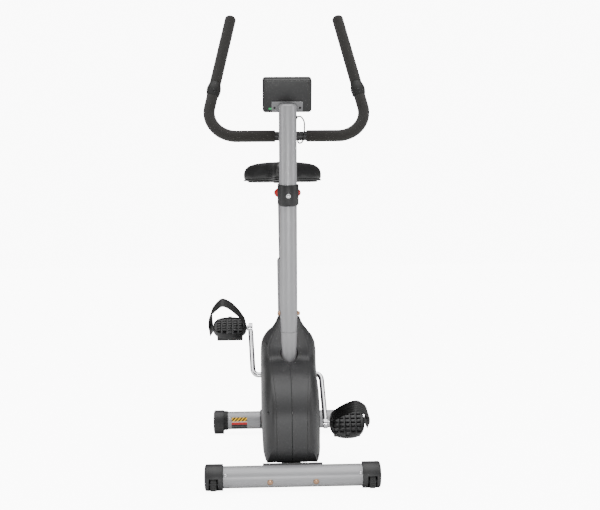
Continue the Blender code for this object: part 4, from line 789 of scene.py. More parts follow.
# ---- pedals
# Moulded black pedals with a round tread over a narrower weighted block. The tread has rows of
# raised square studs, and each pedal turns on a steel axle screwed into the crank's eye.
PEDAL_WIDTH = 0.104
PEDAL_LENGTH = 0.098
TREAD_TOP = 0.010
TREAD_THICKNESS = 0.018
PEDAL_BLOCK = 0.020
PEDAL_CLEAR = 0.006
PEDAL_PITCH = {"left": math.radians(28), "right": math.radians(52)}
STUD = 0.0105
STUD_PITCH = 0.0145
TREAD_STEPS = 112
TREAD_POWER = 0.8       # under 1, so that the round tread is a little squared
BLOCK_WIDTH = 0.080
BLOCK_LENGTH = 0.064
STUDS_WITHIN = 0.043
pedal_plastic = grained_plastic("pedal_plastic", "#141415", 0.38)


def tread_ring(side, grow, height):
    """The tread's outline, grown or shrunk, in the pedal's own frame."""
    centre = EYE_WIDTH / 2 + PEDAL_CLEAR + PEDAL_WIDTH / 2
    ring = []
    for index in range(TREAD_STEPS):
        turn = 2 * math.pi * index / TREAD_STEPS
        across = math.copysign(abs(math.cos(turn)) ** TREAD_POWER, math.cos(turn)) * (PEDAL_WIDTH / 2 + grow)
        along = math.copysign(abs(math.sin(turn)) ** TREAD_POWER, math.sin(turn)) * (PEDAL_LENGTH / 2 + grow)
        ring.append(Vector((side * (centre + across), along, height)))
    return ring


for side_name, side in SIDES.items():
    place = Matrix.Translation(pedal_eye(side)) @ Matrix.Rotation(PEDAL_PITCH[side_name], 4, "X")
    body = "pedal_" + side_name
    centre_x = side * (EYE_WIDTH / 2 + PEDAL_CLEAR + PEDAL_WIDTH / 2)
    under = TREAD_TOP - TREAD_THICKNESS
    levels = ((-0.0030, TREAD_TOP - 0.0035), (-0.0022, TREAD_TOP - 0.0005), (-0.0012, TREAD_TOP),
              (-0.0003, TREAD_TOP - 0.0008), (0, TREAD_TOP - 0.0022), (0, under + 0.003),
              (-0.001, under + 0.001), (-0.003, under))
    rings = [tread_ring(side, grow, height) for grow, height in levels]
    mesh = loft("pedal_tread_" + side_name, rings)
    mesh.transform(place)
    tread = show("pedal_tread_" + side_name, mesh, pedal_plastic, body, ["pedal_" + side_name])
    bore_end = EYE_WIDTH / 2 + PEDAL_CLEAR + PEDAL_WIDTH - 0.010
    bore_from, bore_to = (place @ Vector((side * at, 0, 0)) for at in (0.002, bore_end))
    carve(tread, loose(bar("bore", bore_from, bore_to, 0.0048)))
    low = under - PEDAL_BLOCK / 2 + 0.002
    name = "pedal_block_" + side_name
    mesh = block(name, (BLOCK_WIDTH, BLOCK_LENGTH, PEDAL_BLOCK),
                 place @ Matrix.Translation((centre_x, -0.002, low)), 0.0035, 4)
    show(name, mesh, pedal_plastic, body)
    studs = bmesh.new()
    for row in range(-3, 4):
        for column in range(-2, 3):
            across, along = column * STUD_PITCH * 1.18, row * STUD_PITCH * 0.95
            if math.hypot(across / STUDS_WITHIN, along / STUDS_WITHIN) > 1.04:
                continue
            top = block("stud", (STUD * 1.15, STUD, 0.0085), place @ Matrix.Translation(
                (centre_x + across, along, TREAD_TOP - 0.00025)), 0.0011, 2)
            studs.from_mesh(top)
            bpy.data.meshes.remove(top)
    name = "pedal_studs_" + side_name
    mesh = bpy.data.meshes.new(name)
    studs.to_mesh(mesh)
    studs.free()
    show(name, mesh, pedal_plastic, body)
finish_nodes(bright_zinc, "pedal_axle_left", "pedal_axle_right")


# ---- foot straps
# Each pedal has a broad strap of moulded black rubber that arches over the shoe from its inner
# side and hooks on its outer side. Ribs run along the strap and a lug stands under its tail.
STRAP_WIDTH = 0.034
STRAP_BACK = 0.008
STRAP_RIBS = 5
STRAP_TWIST = math.radians(20)    # its outer leg turns to face forwards
STRAP_LEAN = math.radians(16)     # and its arch leans back
strap_rubber = grained_plastic("strap_rubber", "#101010", 0.48, 1.2)
for side_name, side in SIDES.items():
    place = Matrix.Translation(pedal_eye(side)) @ Matrix.Rotation(PEDAL_PITCH[side_name], 4, "X")
    near = EYE_WIDTH / 2 + PEDAL_CLEAR
    first = near + 0.0035
    last = near + PEDAL_WIDTH + GAP
    route = [(first, TREAD_TOP + GAP + 0.003), (first + 0.006, 0.028), (first + 0.022, 0.052),
             (first + 0.046, 0.078), (first + 0.070, 0.090), (last - 0.014, 0.078), (last + 0.003, 0.052),
             (last + 0.0050, 0.020), (last + 0.0035, 0.000), (last + 0.002, -0.026)]
    line = smooth_curve([(x, 0, z) for x, z in route], 8)
    rings = []
    for index, point in enumerate(line):
        way = (line[min(index + 1, len(line) - 1)] - line[max(index - 1, 0)]).normalized()
        out = Vector((way.z, 0, -way.x)) * -1
        share = index / (len(line) - 1)
        narrow = 1 - 0.16 * max(0, share - 0.80) / 0.20
        twist = STRAP_TWIST * eased(0.50, 0.80, share)
        lean = STRAP_LEAN * eased(0.08, 0.30, share) * eased(1.0, 0.80, share)
        spread = Vector((-math.sin(twist), math.cos(twist) * math.cos(lean), math.sin(lean)))
        spread *= STRAP_WIDTH * narrow
        centre = point + Vector((0.0040 * twist / STRAP_TWIST, STRAP_BACK, 0))
        ring = []
        for step in range(41):
            across = step / 40 - 0.5
            rib = 0.5 - 0.5 * math.cos(2 * math.pi * STRAP_RIBS * (across + 0.5))
            edge = 1 - max(0, abs(across) - 0.46) / 0.04
            lift = 0.0004 + (0.0011 if 0.06 < share < 0.86 else 0.0006) * rib * edge
            ring.append(centre + out * lift + spread * across)
        for across in (0.49, 0, -0.49):
            ring.append(centre - out * 0.0015 + spread * across)
        rings.append([Vector((side * spot.x, spot.y, spot.z)) for spot in ring])
    name = "foot_strap_" + side_name
    mesh = loft(name, rings)
    mesh.transform(place)
    show(name, mesh, strap_rubber, "pedal_" + side_name, ["pedal_strap_" + side_name], 60)


# ---- flywheel, belt and cable
# Hidden inside the shroud: a machined cast-iron flywheel in a welded cradle, a ribbed rubber
# belt to the crank's pulley, and the cable that moves the magnets.
cast_iron = zinc_plate("machined_cast_iron", "#7C7A78")
belt_rubber = grained_plastic("belt_rubber", "#161616", 0.6, 1.0)
cable_sleeve = grained_plastic("cable_sleeve", "#0E0E0E", 0.4, 0.6)
finish_nodes(cast_iron, "flywheel")
finish_nodes(belt_rubber, "drive_belt")
finish_nodes(cable_sleeve, "tension_cable")


# ---- shroud halves
# Two moulded black shells meet at a seam along the middle. A band runs round the front with a
# fine groove each side, and outside it the flanks swell out and flatten.
SHROUD_HALF_WIDTH = 0.080
SHROUD_WALL = 0.0025
SHROUD_BOTTOM = 0.0665
NOTCH_Z = 0.322
BAND_HALF = 0.042
SWELL_LENGTH = 0.075    # how far inside the outline a flank reaches its full width
SWELL_POWER = 2.2
FOOT_LEVEL = 0.115      # below this the flanks run straight down
FRONT_EDGE = [(-0.373, SHROUD_BOTTOM), (-0.390, 0.108), (-0.396, 0.165), (-0.391, 0.215), (-0.366, 0.262),
              (-0.325, 0.296), (-0.270, 0.316), (-0.222, 0.330), (-0.208, 0.358), (-0.209, 0.405),
              (-0.210, 0.444)]
BACK_EDGE = [(-0.196, 0.452), (-0.165, 0.450), (-0.120, 0.432), (-0.060, 0.412), (0.010, 0.400),
             (0.075, 0.378), (0.122, 0.332), (0.146, 0.270), (0.150, 0.200), (0.142, 0.130),
             (0.125, SHROUD_BOTTOM)]
shroud_plastic = grained_plastic("shroud_plastic", "#232324", 0.44, 0.8)
outline = [(point.x, max(point.y, SHROUD_BOTTOM)) for edge in (FRONT_EDGE, BACK_EDGE)
           for point in smooth_curve([(y, z, 0) for y, z in edge], 7)]


def band_half_width(z):
    """Half the width of the front band, which is widest below the post's notch."""
    return BAND_HALF + 0.009 * eased(0.21, 0.33, z) - 0.022 * eased(0.36, 0.447, z)


def inside_outline(point):
    """How far inside the shroud's outline a point of its side view lies, leaving out its flat foot."""
    nearest = 1.0
    for first, second in zip(outline, outline[1:] + outline[:1]):
        if max(first[1], second[1]) < SHROUD_BOTTOM + 0.001:
            continue
        a, b = Vector(first), Vector(second)
        run = b - a
        square = run.length_squared
        share = 0 if square == 0 else min(max((point - a).dot(run) / square, 0), 1)
        nearest = min(nearest, (point - a - run * share).length)
    return nearest


def flank(y, z, depth):
    """How far out the shroud's side stands, at a depth inside its outline."""
    crease = band_half_width(z)
    room = min(SHROUD_HALF_WIDTH - BAND_HALF, SHROUD_HALF_WIDTH - crease)
    room *= 1 - 0.75 * eased(0.350, 0.450, z)
    share = min(depth / SWELL_LENGTH, 1)
    return crease + room * (1 - (1 - share) ** SWELL_POWER) ** (1 / SWELL_POWER)


def shroud_screw_place(side, z, depth):
    """The spot on the front part of a flank at a height and a depth inside the outline."""
    y = min(point[0] for point in outline if abs(point[1] - z) < 0.02)
    while inside_outline(Vector((y, z))) < depth or y < -0.5:
        y += 0.0005
    return Vector((side * flank(y, z, depth), y, z))


middle = Vector((-0.140, 0.235))
GROOVE_SHARE = 0.004    # of the way to the middle that the seam and the grooves are sunk
SCREW_SPOTS = {"left": ((0.372, 0.010), (0.205, 0.012)), "right": ((0.288, 0.014), (0.082, 0.010))}
for side_name, side in SIDES.items():
    sunk = [tuple(Vector(at).lerp(middle, GROOVE_SHARE)) for at in outline]
    rings = [[Vector((side * GAP / 2, y, z)) for y, z in sunk],
             [Vector((side * 0.0009, y, z)) for y, z in outline],
             [Vector((side * (band_half_width(z) - 0.0010), y, z)) for y, z in outline],
             [Vector((side * band_half_width(z), y, z)) for y, z in sunk]]
    for share in (0.0004, 0.004, 0.012, 0.03, 0.06, 0.09, 0.14, 0.19, 0.26, 0.34, 0.45, 0.56, 0.75):
        ring = []
        for at in outline:
            spot = Vector(at).lerp(middle, share)
            depth = inside_outline(Vector((spot.x, max(spot.y, FOOT_LEVEL))))
            lip = 0.0004 if share < 0.001 else 0
            ring.append(Vector((side * (flank(spot.x, spot.y, depth) + lip), spot.x, spot.y)))
        rings.append(ring)
    shape = bmesh.new()
    rows = [[shape.verts.new(spot) for spot in ring] for ring in rings]
    for here, there in zip(rows, rows[1:]):
        for index in range(len(here)):
            after = (index + 1) % len(here)
            shape.faces.new((here[index], here[after], there[after], there[index]))
    shape.faces.new(rows[-1])
    bmesh.ops.remove_doubles(shape, verts=shape.verts, dist=0.00001)
    bmesh.ops.recalc_face_normals(shape, faces=shape.faces)
    if sum(face.normal.x * side * face.calc_area() for face in shape.faces) < 0:
        bmesh.ops.reverse_faces(shape, faces=shape.faces)
    name = "shroud_shell_" + side_name
    mesh = bpy.data.meshes.new(name)
    shape.to_mesh(mesh)
    shape.free()
    shell = show(name, mesh, shroud_plastic, "frame", ["shroud_" + side_name])
    wall = shell.modifiers.new("wall", "SOLIDIFY")
    wall.thickness = SHROUD_WALL
    wall.offset = -1
    notch = Vector((0, SEAM.y + 0.015, NOTCH_Z + POST_R))
    tight = POST_R + 2 * GAP
    cutters = [
        loose(bar("post", SEAM - UP_POST * 0.25, SEAM + UP_POST * 0.10, tight, 80)),
        loose(bar("notch", notch, notch - Vector((0, 0.12, 0)), tight, 80)),
        loose(bar("seat", CRANK + UP_SEAT * 0.06, CRANK + UP_SEAT * 0.25, tight, 80)),
        loose(bar("crank_hole", CRANK, CRANK + X_AXIS * side * 0.12, CRANK_ROD_R + 0.007, 48)),
        loose(block("base_gap", (0.076, 0.470, 0.030), Matrix.Translation((0, -0.105, SHROUD_BOTTOM))))]
    for index, (z, depth) in enumerate(SCREW_SPOTS[side_name]):
        spot = shroud_screw_place(side, z, depth)
        out = X_AXIS * side
        cutters.append(loose(bar("screw_well", spot - out * 0.0016, spot + out * 0.02, 0.0046)))
        pan_screw(f"shroud_screw_{side_name}_{index}", spot - out * 0.0015, out, 0.0036, 0.0016, black_steel,
                  "frame")
    carve(shell, *cutters)


# ---- tension collar and knob
# A moulded black collar round the post carries a red six-lobed knob behind it. A bright domed
# screw holds the collar from the front.
COLLAR_R = 0.030
COLLAR_HEIGHT = 0.060
BOSS = (0.046, 0.040, 0.018)
KNOB_LOBES = 6
KNOB_STEPS = 144
KNOB_R = 0.0385
KNOB_DEPTH = 0.020
KNOB_FACE = 0.0443      # from the post's axis to the knob's near face
collar_plastic = grained_plastic("collar_plastic", "#111112", 0.46)
red_plastic = grained_plastic("red_plastic", "#C00A08", 0.32, 0.8, 0.15)


def facing_way(place, direction):
    """A place whose Z axis points along a direction."""
    across, up = square_frame(direction)
    turn = Matrix((across, up, Vector(direction).normalized())).transposed().to_4x4()
    return Matrix.Translation(place) @ turn


half = COLLAR_HEIGHT / 2
bore = POST_R + GAP
profile = [(half, bore), (half, COLLAR_R - 0.0015), (half - 0.0008, COLLAR_R - 0.0004),
           (half - 0.002, COLLAR_R), (0.005 - half, COLLAR_R), (0.003 - half, COLLAR_R - 0.0008),
           (0.0006 - half, COLLAR_R - 0.0034),
           (-half, COLLAR_R - 0.004), (-half, bore)]
mesh = turned("tension_collar_moulding", profile, collar_at, UP_POST, 96, loop=True)
collar = show("tension_collar_moulding", mesh, collar_plastic, "frame", ["tension_collar"])
boss = block("boss", BOSS, facing_way(collar_at + BACK_OF_POST * 0.035, BACK_OF_POST), 0.002)
carve(collar, loose(boss), operation="UNION")
screw_seat = collar_at - BACK_OF_POST * COLLAR_R
carve(collar, loose(bar("bore", collar_at - UP_POST * 0.05, collar_at + UP_POST * 0.05, bore, 96)),
      loose(bar("stem_bore", collar_at, collar_at + BACK_OF_POST * 0.06, 0.006)),
      loose(bar("screw_well", screw_seat + BACK_OF_POST * 0.0012, screw_seat - BACK_OF_POST * 0.01, 0.0085)))
pan_screw("collar_screw", screw_seat + BACK_OF_POST * 0.0008, -BACK_OF_POST, 0.0070, 0.0034, bright_zinc,
          "frame")

knob_rings = []
for height, shrink in ((0, 0.003), (0.001, 0.001), (0.003, 0), (KNOB_DEPTH - 0.005, 0),
                       (KNOB_DEPTH - 0.002, 0.0010), (KNOB_DEPTH - 0.0005, 0.003), (KNOB_DEPTH, 0.006)):
    knob_rings.append([])
    for step in range(KNOB_STEPS):
        turn = 2 * math.pi * step / KNOB_STEPS
        reach = KNOB_R * (0.90 + 0.10 * math.cos(KNOB_LOBES * turn)) - shrink
        knob_rings[-1].append(Vector((reach * math.cos(turn), reach * math.sin(turn), height)))
mesh = loft("tension_knob_moulding", knob_rings)
turn = facing_way(Vector(), BACK_OF_POST)
mesh.transform(Matrix.Translation(collar_at + BACK_OF_POST * KNOB_FACE) @ turn)
show("tension_knob_moulding", mesh, red_plastic, "tension_knob", ["tension_knob"], 40)
start = collar_at + BACK_OF_POST * 0.030
mesh = bar("tension_knob_stem", start, collar_at + BACK_OF_POST * (KNOB_FACE + 0.002), 0.0055)
show("tension_knob_stem", mesh, red_plastic, "tension_knob")
cap_place = collar_at + BACK_OF_POST * (KNOB_FACE + KNOB_DEPTH - 0.0002)
profile = [(0, 0.0125), (0.0006, 0.0122), (0.0008, 0.011), (0.0008, 0)]
show("tension_knob_cap", turned("tension_knob_cap", profile, cap_place, BACK_OF_POST, 48), collar_plastic,
     "tension_knob")


# ---- handlebar and clamp
# A bent steel tube, 25 mm over, in black powder coat, held in a clamp behind the post. The ends
# are closed by domed plugs.
BAR_R = 0.0127
BAR_WALL = 0.0018
FOAM_R = 0.0165
BAR_Z = 0.967
CORNER_R = 0.078
HALF_WIDTH = 0.221
ARM_HEIGHT = 0.393
BAR_SWEEP = math.radians(25)
BAR_INWARD = math.radians(11.4)
CLAMP_WIDTH = 0.044
CLAMP_WALL = 0.004
up = (BAR_Z - SEAM.z) / math.cos(POST_LEAN)
bar_spot = SEAM + UP_POST * up
behind = POST_R + GAP + CLAMP_WALL + GAP + BAR_R
BAR_MIDDLE = Vector((0, bar_spot.y + behind / math.cos(POST_LEAN), BAR_Z))
CORNER_TURN = math.pi / 2 + BAR_INWARD
STRAIGHT = HALF_WIDTH - CORNER_R
CORNER_LENGTH = CORNER_R * CORNER_TURN
CORNER_RISE = CORNER_R * (1 - math.cos(CORNER_TURN))
BAR_LENGTH = STRAIGHT + CORNER_LENGTH + (ARM_HEIGHT - CORNER_RISE) / math.cos(BAR_INWARD)


def bar_point(along, side):
    """A point on the bar's centre line, at a length along it from the middle."""
    if along <= STRAIGHT:
        across, rise = along, 0
    elif along <= STRAIGHT + CORNER_LENGTH:
        turn = (along - STRAIGHT) / CORNER_R
        across = STRAIGHT + CORNER_R * math.sin(turn)
        rise = CORNER_R * (1 - math.cos(turn))
    else:
        rest = along - STRAIGHT - CORNER_LENGTH
        across = STRAIGHT + CORNER_R * math.sin(CORNER_TURN) - rest * math.sin(BAR_INWARD)
        rise = CORNER_RISE + rest * math.cos(BAR_INWARD)
    sweep = Vector((0, math.sin(BAR_SWEEP), math.cos(BAR_SWEEP)))
    return BAR_MIDDLE + X_AXIS * side * across + sweep * rise


def bar_stretch(start, end, side):
    """Points along the bar between two lengths, close together only round the corner."""
    stops = [STRAIGHT + CORNER_LENGTH * step / 32 for step in range(33)]
    lengths = [start] + [stop for stop in stops if start + 0.001 < stop < end - 0.001] + [end]
    return [bar_point(length, side) for length in lengths]


left, right = (bar_stretch(0.0, BAR_LENGTH - 0.010, side) for side in (-1, 1))
mesh = swept("handlebar_tube", list(reversed(left)) + right[1:], BAR_R, 56, BAR_WALL)
tube = show("handlebar_tube", mesh, black_steel, "handlebar", ["handlebar"])
LEAD_END = BAR_MIDDLE + Vector((0.030, 0, -BAR_R))
carve(tube, loose(bar("lead_hole", LEAD_END - Vector((0, 0, 0.002)), LEAD_END + Vector((0, 0, 0.008)),
                      0.0030)))
reach = X_AXIS * CLAMP_WIDTH / 2
clamp_r = BAR_R + GAP + CLAMP_WALL
profile = [(-CLAMP_WIDTH / 2, 0), (-CLAMP_WIDTH / 2, clamp_r - 0.0008), (0.0008 - CLAMP_WIDTH / 2, clamp_r),
           (CLAMP_WIDTH / 2 - 0.0008, clamp_r), (CLAMP_WIDTH / 2, clamp_r - 0.0008), (CLAMP_WIDTH / 2, 0)]
clamp = show("bar_clamp", turned("bar_clamp", profile, BAR_MIDDLE, X_AXIS, 72), black_steel, "frame",
             ["handlebar_clamp"])
saddle_place = facing_way(BAR_MIDDLE - BACK_OF_POST * 0.018, BACK_OF_POST)
carve(clamp, loose(block("saddle", (CLAMP_WIDTH, 0.036, 0.030), saddle_place, 0.0012)), operation="UNION")
carve(clamp, loose(bar("bore", BAR_MIDDLE - reach * 1.2, BAR_MIDDLE + reach * 1.2, BAR_R + GAP, 72)),
      loose(bar("cope", bar_spot - UP_POST * 0.08, bar_spot + UP_POST * 0.08, POST_R + GAP, 72)))
for shift in (-0.012, 0.012):
    at = BAR_MIDDLE + X_AXIS * shift + BACK_OF_POST * (clamp_r - 0.0010)
    name = f"clamp_screw_{'left' if shift < 0 else 'right'}"
    pan_screw(name, at, BACK_OF_POST, 0.0052, 0.0034, bright_zinc, "frame")


# ---- foam grips
# Sleeves of closed-cell black foam, 33 mm over, pushed on to the bar. The foam is dead matt,
# with fine pores and slightly crushed, rounded ends.
SENSOR_FROM = 0.318
SENSOR_TO = 0.362
SENSOR_R = 0.0208


def nitrile_foam():
    """Nitrile foam: dead matt, with 1.1 mm pores, drawn coarse so that they show."""
    made, tree, shader = finish_named("nitrile_foam", "#100F0E", 0.88)
    shader.inputs["Sheen Weight"].default_value = 0.12
    shader.inputs["Sheen Roughness"].default_value = 0.5
    place = put(tree, "ShaderNodeTexCoord")
    pores = put(tree, "ShaderNodeTexVoronoi", {"Scale": 1 / 0.0011}, {"Vector": place.outputs["Object"]})
    skin = put(tree, "ShaderNodeTexNoise", {"Scale": 1 / 0.004, "Detail": 4.0},
               {"Vector": place.outputs["Object"]})
    tone = put(tree, "ShaderNodeMix", {"data_type": "RGBA", 6: linear("#151412"), 7: linear("#25221F")},
               {0: skin.outputs[0]})
    tree.links.new(tone.outputs[2], shader.inputs["Base Color"])
    fine = put(tree, "ShaderNodeBump", {"Strength": 0.5, "Distance": 0.0002},
               {"Height": pores.outputs["Distance"]})
    broad = put(tree, "ShaderNodeBump", {"Strength": 0.3, "Distance": 0.0004},
                {"Height": skin.outputs[0], "Normal": fine.outputs["Normal"]})
    tree.links.new(broad.outputs["Normal"], shader.inputs["Normal"])
    return made


foam = nitrile_foam()
sensor_plastic = grained_plastic("sensor_plastic", "#141413", 0.66)
bright_steel = zinc_plate("brushed_steel", "#BFC0C2")
for side_name, side in SIDES.items():
    inner_end = 0.034 if side < 0 else 0.054
    wall = FOAM_R - BAR_R - 2 * GAP
    upper_from = SENSOR_TO + GAP
    upper = [bar_point(upper_from + (BAR_LENGTH - SENSOR_TO - GAP) * step / 40, side) for step in range(41)]
    for part, points in (("lower", bar_stretch(inner_end, SENSOR_FROM - GAP, side)), ("upper", upper)):
        name = f"foam_grip_{part}_{side_name}"
        mesh = swept(name, points, FOAM_R, 64, wall, 0.0014)
        show(name, mesh, foam, "handlebar", [f"foam_{part}_{side_name}"])
    low, high = bar_point(SENSOR_FROM, side), bar_point(SENSOR_TO, side)
    length = (high - low).length
    bore = BAR_R + 2 * GAP
    profile = [(length, bore), (length, FOAM_R), (length - 0.0030, FOAM_R + 0.0006),
               (length - 0.0080, FOAM_R + 0.0020),
               (length - 0.0130, SENSOR_R - 0.0012), (length - 0.0180, SENSOR_R - 0.0002), (0.0220, SENSOR_R),
               (0.0150, SENSOR_R - 0.0006), (0.0090, FOAM_R + 0.0024), (0.0040, FOAM_R + 0.0009), (0, FOAM_R),
               (0, bore)]
    name = "pulse_sensor_body_" + side_name
    mesh = turned(name, profile, low, high - low, 80, loop=True)
    show(name, mesh, sensor_plastic, "handlebar", ["pulse_sensor_" + side_name], 40)
    way = (high - low).normalized()
    rider = Vector((0, 1, 0)) - way * way.y
    across = way.cross(rider.normalized())
    middle_at = low.lerp(high, 0.5)
    for label, sign in (("inner", -1), ("outer", 1)):
        facing = (rider.normalized() + across * sign * 0.9).normalized()
        plate_at = middle_at + facing * (SENSOR_R - 0.0012)
        name = f"pulse_plate_{label}_{side_name}"
        turn = Matrix((way, facing.cross(way), facing)).transposed().to_4x4()
        plate = block(name, (0.026, 0.014, 0.0022), Matrix.Translation(plate_at) @ turn, 0.0009, 3)
        show(name, plate, bright_steel, "handlebar")
    pan_screw("sensor_screw_" + side_name, middle_at - rider.normalized() * (SENSOR_R - 0.0002) - way * 0.010,
              -rider, 0.0028, 0.0011, black_steel, "handlebar")
    tip = bar_point(BAR_LENGTH, side)
    way = (tip - bar_point(BAR_LENGTH - 0.05, side)).normalized()
    profile = [(0.0110, 0), (0.0108, 0.0030), (0.0100, 0.0066), (0.0086, 0.0098), (0.0066, 0.0127),
               (0.0040, 0.0150), (0.0016, FOAM_R - 0.0003), (GAP, FOAM_R), (GAP, BAR_R - 0.002),
               (-0.014, BAR_R - 0.002), (-0.014, 0)]
    name = "bar_end_plug_" + side_name
    show(name, turned(name, profile, tip, way, 72), cap_plastic, "handlebar")


# ---- pulse lead
# A thin black wire, held at both ends, leaves a rubber grommet in the post's side, loops over
# the crossbar and enters it from below.
LEAD_R = 0.0021
lead_route = [LEAD_EXIT - X_AXIS * 0.003, LEAD_EXIT + X_AXIS * 0.001,
              LEAD_EXIT + Vector((0.006, 0.002, 0.003)),
              LEAD_EXIT + Vector((0.014, 0.006, 0.001)), LEAD_EXIT + Vector((0.0215, 0.010, -0.012)),
              BAR_MIDDLE + Vector((0.048, -0.0175, 0.018)), BAR_MIDDLE + Vector((0.0475, -0.0175, 0.000)),
              BAR_MIDDLE + Vector((0.043, -0.012, -0.0155)), BAR_MIDDLE + Vector((0.036, -0.004, -0.0205)),
              LEAD_END + Vector((0.0008, 0, -0.0050)), LEAD_END + Vector((0, 0, 0.0004))]
lead = show("pulse_lead", swept("pulse_lead", smooth_curve(lead_route, 8), LEAD_R, 16), cable_sleeve, None)
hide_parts("pulse_cable")
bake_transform(lead)
profile = [(-0.001, 0.0018), (0.0012, 0.0018), (0.0018, 0.0030), (0.0014, 0.0050), (0.0002, 0.0062),
           (-0.001, 0.0044)]
show("lead_grommet", turned("lead_grommet", profile, LEAD_EXIT, X_AXIS, 36, loop=True), wheel_rubber, "frame")


# ---- console
# A moulded black box in two halves, tilted towards the rider on a pale bracket. It has a clear
# lens over a grey-green display and two buttons, with no lettering.
CONSOLE = (0.138, 0.096, 0.034)
CONSOLE_TILT = math.radians(20)
CONSOLE_RADIUS = 0.0085
BACK_SHARE = 0.66
LENS_SIZE = (0.092, 0.046)
LENS_RISE = 0.014       # its middle above the console's
BRACKET_SCREW_X = 0.036
BUTTON_R = 0.0055
facing = Vector((0, math.cos(CONSOLE_TILT), math.sin(CONSOLE_TILT)))
console_up = Vector((0, -math.sin(CONSOLE_TILT), math.cos(CONSOLE_TILT)))
turn = Matrix((console_up.cross(facing), console_up, facing)).transposed().to_4x4()
console_foot = SEAM + UP_POST * (POST_LENGTH - 0.020) + Vector((0, POST_R + 0.009, 0))
console_place = Matrix.Translation(console_foot + console_up * (CONSOLE[1] / 2 - 0.002)) @ turn
console_plastic = grained_plastic("console_plastic", "#0B0B0C", 0.40, 0.8)
bracket_grey = grained_plastic("bracket_enamel", "#6C6C6E", 0.35, 1.5, 0.15)


def rounded_shell(name, levels):
    """A rounded rectangle lofted through (shrink, height) levels in the console's own frame."""
    rings = []
    for shrink, height in levels:
        ring = []
        half_width = CONSOLE[0] / 2 - shrink - CONSOLE_RADIUS
        half_height = CONSOLE[1] / 2 - shrink - CONSOLE_RADIUS
        for corner, (sign_x, sign_y) in enumerate(((1, 1), (-1, 1), (-1, -1), (1, -1))):
            for step in range(9):
                angle = math.pi / 2 * (corner + step / 8)
                ring.append(Vector((sign_x * half_width + CONSOLE_RADIUS * math.cos(angle),
                                    sign_y * half_height + CONSOLE_RADIUS * math.sin(angle), height)))
        rings.append(ring)
    mesh = loft(name, rings)
    mesh.transform(console_place)
    return mesh


back_depth = CONSOLE[2] * BACK_SHARE
levels = ((0.0050, 0), (0.0022, 0.0008), (0.0006, 0.0030), (0, 0.0060), (0, back_depth - 0.0012),
          (0.0012, back_depth - 0.0012), (0.0012, back_depth - GAP))
mesh = rounded_shell("console_back_moulding", levels)
show("console_back_moulding", mesh, console_plastic, "frame", ["console_back"])
levels = ((0.0010, back_depth), (0, back_depth + 0.0010), (0, CONSOLE[2] - 0.0040),
          (0.0008, CONSOLE[2] - 0.0014), (0.0030, CONSOLE[2]))
mesh = rounded_shell("console_front_moulding", levels)
front = show("console_front_moulding", mesh, console_plastic, "frame", ["console_front"])
well = console_place @ Matrix.Translation((0, LENS_RISE, CONSOLE[2]))
button_spots = {"mode": (-0.024, -0.028), "reset": (0.024, -0.028)}
cutters = [loose(block("window", (LENS_SIZE[0] + 2 * GAP, LENS_SIZE[1] + 2 * GAP, 0.0070), well, 0.0008))]
for x, y in button_spots.values():
    at = console_place @ Vector((x, y, CONSOLE[2]))
    cutters.append(loose(bar("button_hole", at - facing * 0.007, at + facing * 0.01, BUTTON_R + 0.0006)))
carve(front, *cutters)

lens_glass, lens_tree, lens_shader = finish_named("clear_lens", "#F4F8F6", 0.05, IOR=1.49)
lens_shader.inputs["Transmission Weight"].default_value = 0.92
scratch = put(lens_tree, "ShaderNodeTexNoise", {"Scale": 1 / 0.003, "Detail": 3.0})
lens_gloss = put(lens_tree, "ShaderNodeMapRange", {"To Min": 0.03, "To Max": 0.09},
                 {"Value": scratch.outputs[0]})
lens_tree.links.new(lens_gloss.outputs["Result"], lens_shader.inputs["Roughness"])
mesh = block("console_window", (LENS_SIZE[0], LENS_SIZE[1], 0.0012),
             console_place @ Matrix.Translation((0, LENS_RISE, CONSOLE[2] - 0.0009)), 0.0004, 2)
show("console_window", mesh, lens_glass, "frame", ["console_lens"])
display = grained_plastic("display_film", "#8C9A8A", 0.5, 0.4, 0.05)
mesh = block("display_panel", (LENS_SIZE[0] - 0.014, LENS_SIZE[1] - 0.012, 0.0010),
             console_place @ Matrix.Translation((0, LENS_RISE, CONSOLE[2] - 0.0029)), 0.0002, 2)
show("display_panel", mesh, display, "frame")
button_grey = grained_plastic("button_rubber", "#5A5A5C", 0.5, 0.8)
for button, (x, y) in button_spots.items():
    profile = [(0.0035, 0), (0.0034, BUTTON_R - 0.0022), (0.0030, BUTTON_R - 0.0008), (0.0020, BUTTON_R),
               (-0.0030, BUTTON_R), (-0.0030, 0)]
    at = console_place @ Vector((x, y, CONSOLE[2] - 0.0015))
    name = "push_button_" + button
    show(name, turned(name, profile, at, facing, 48), button_grey, "button_" + button, ["button_" + button],
         40)
green_film = grained_plastic("green_film", "#12A85A", 0.4, 1.0, 0.1)
marker_place = console_place @ Matrix.Translation((0.046, -0.036, -0.0002))
mesh = block("green_marker", (0.012, 0.0055, 0.0007), marker_place, 0.0003, 2)
show("green_marker", mesh, green_film, "frame")
for x, y in ((-0.060, -0.039), (0.060, -0.039), (-0.060, 0.039), (0.060, 0.039)):
    at = console_place @ Vector((x, y, 0.0006))
    name = f"console_screw_{'left' if x < 0 else 'right'}_{'low' if y < 0 else 'high'}"
    pan_screw(name, at, -facing, 0.0028, 0.0012, black_steel, "frame")

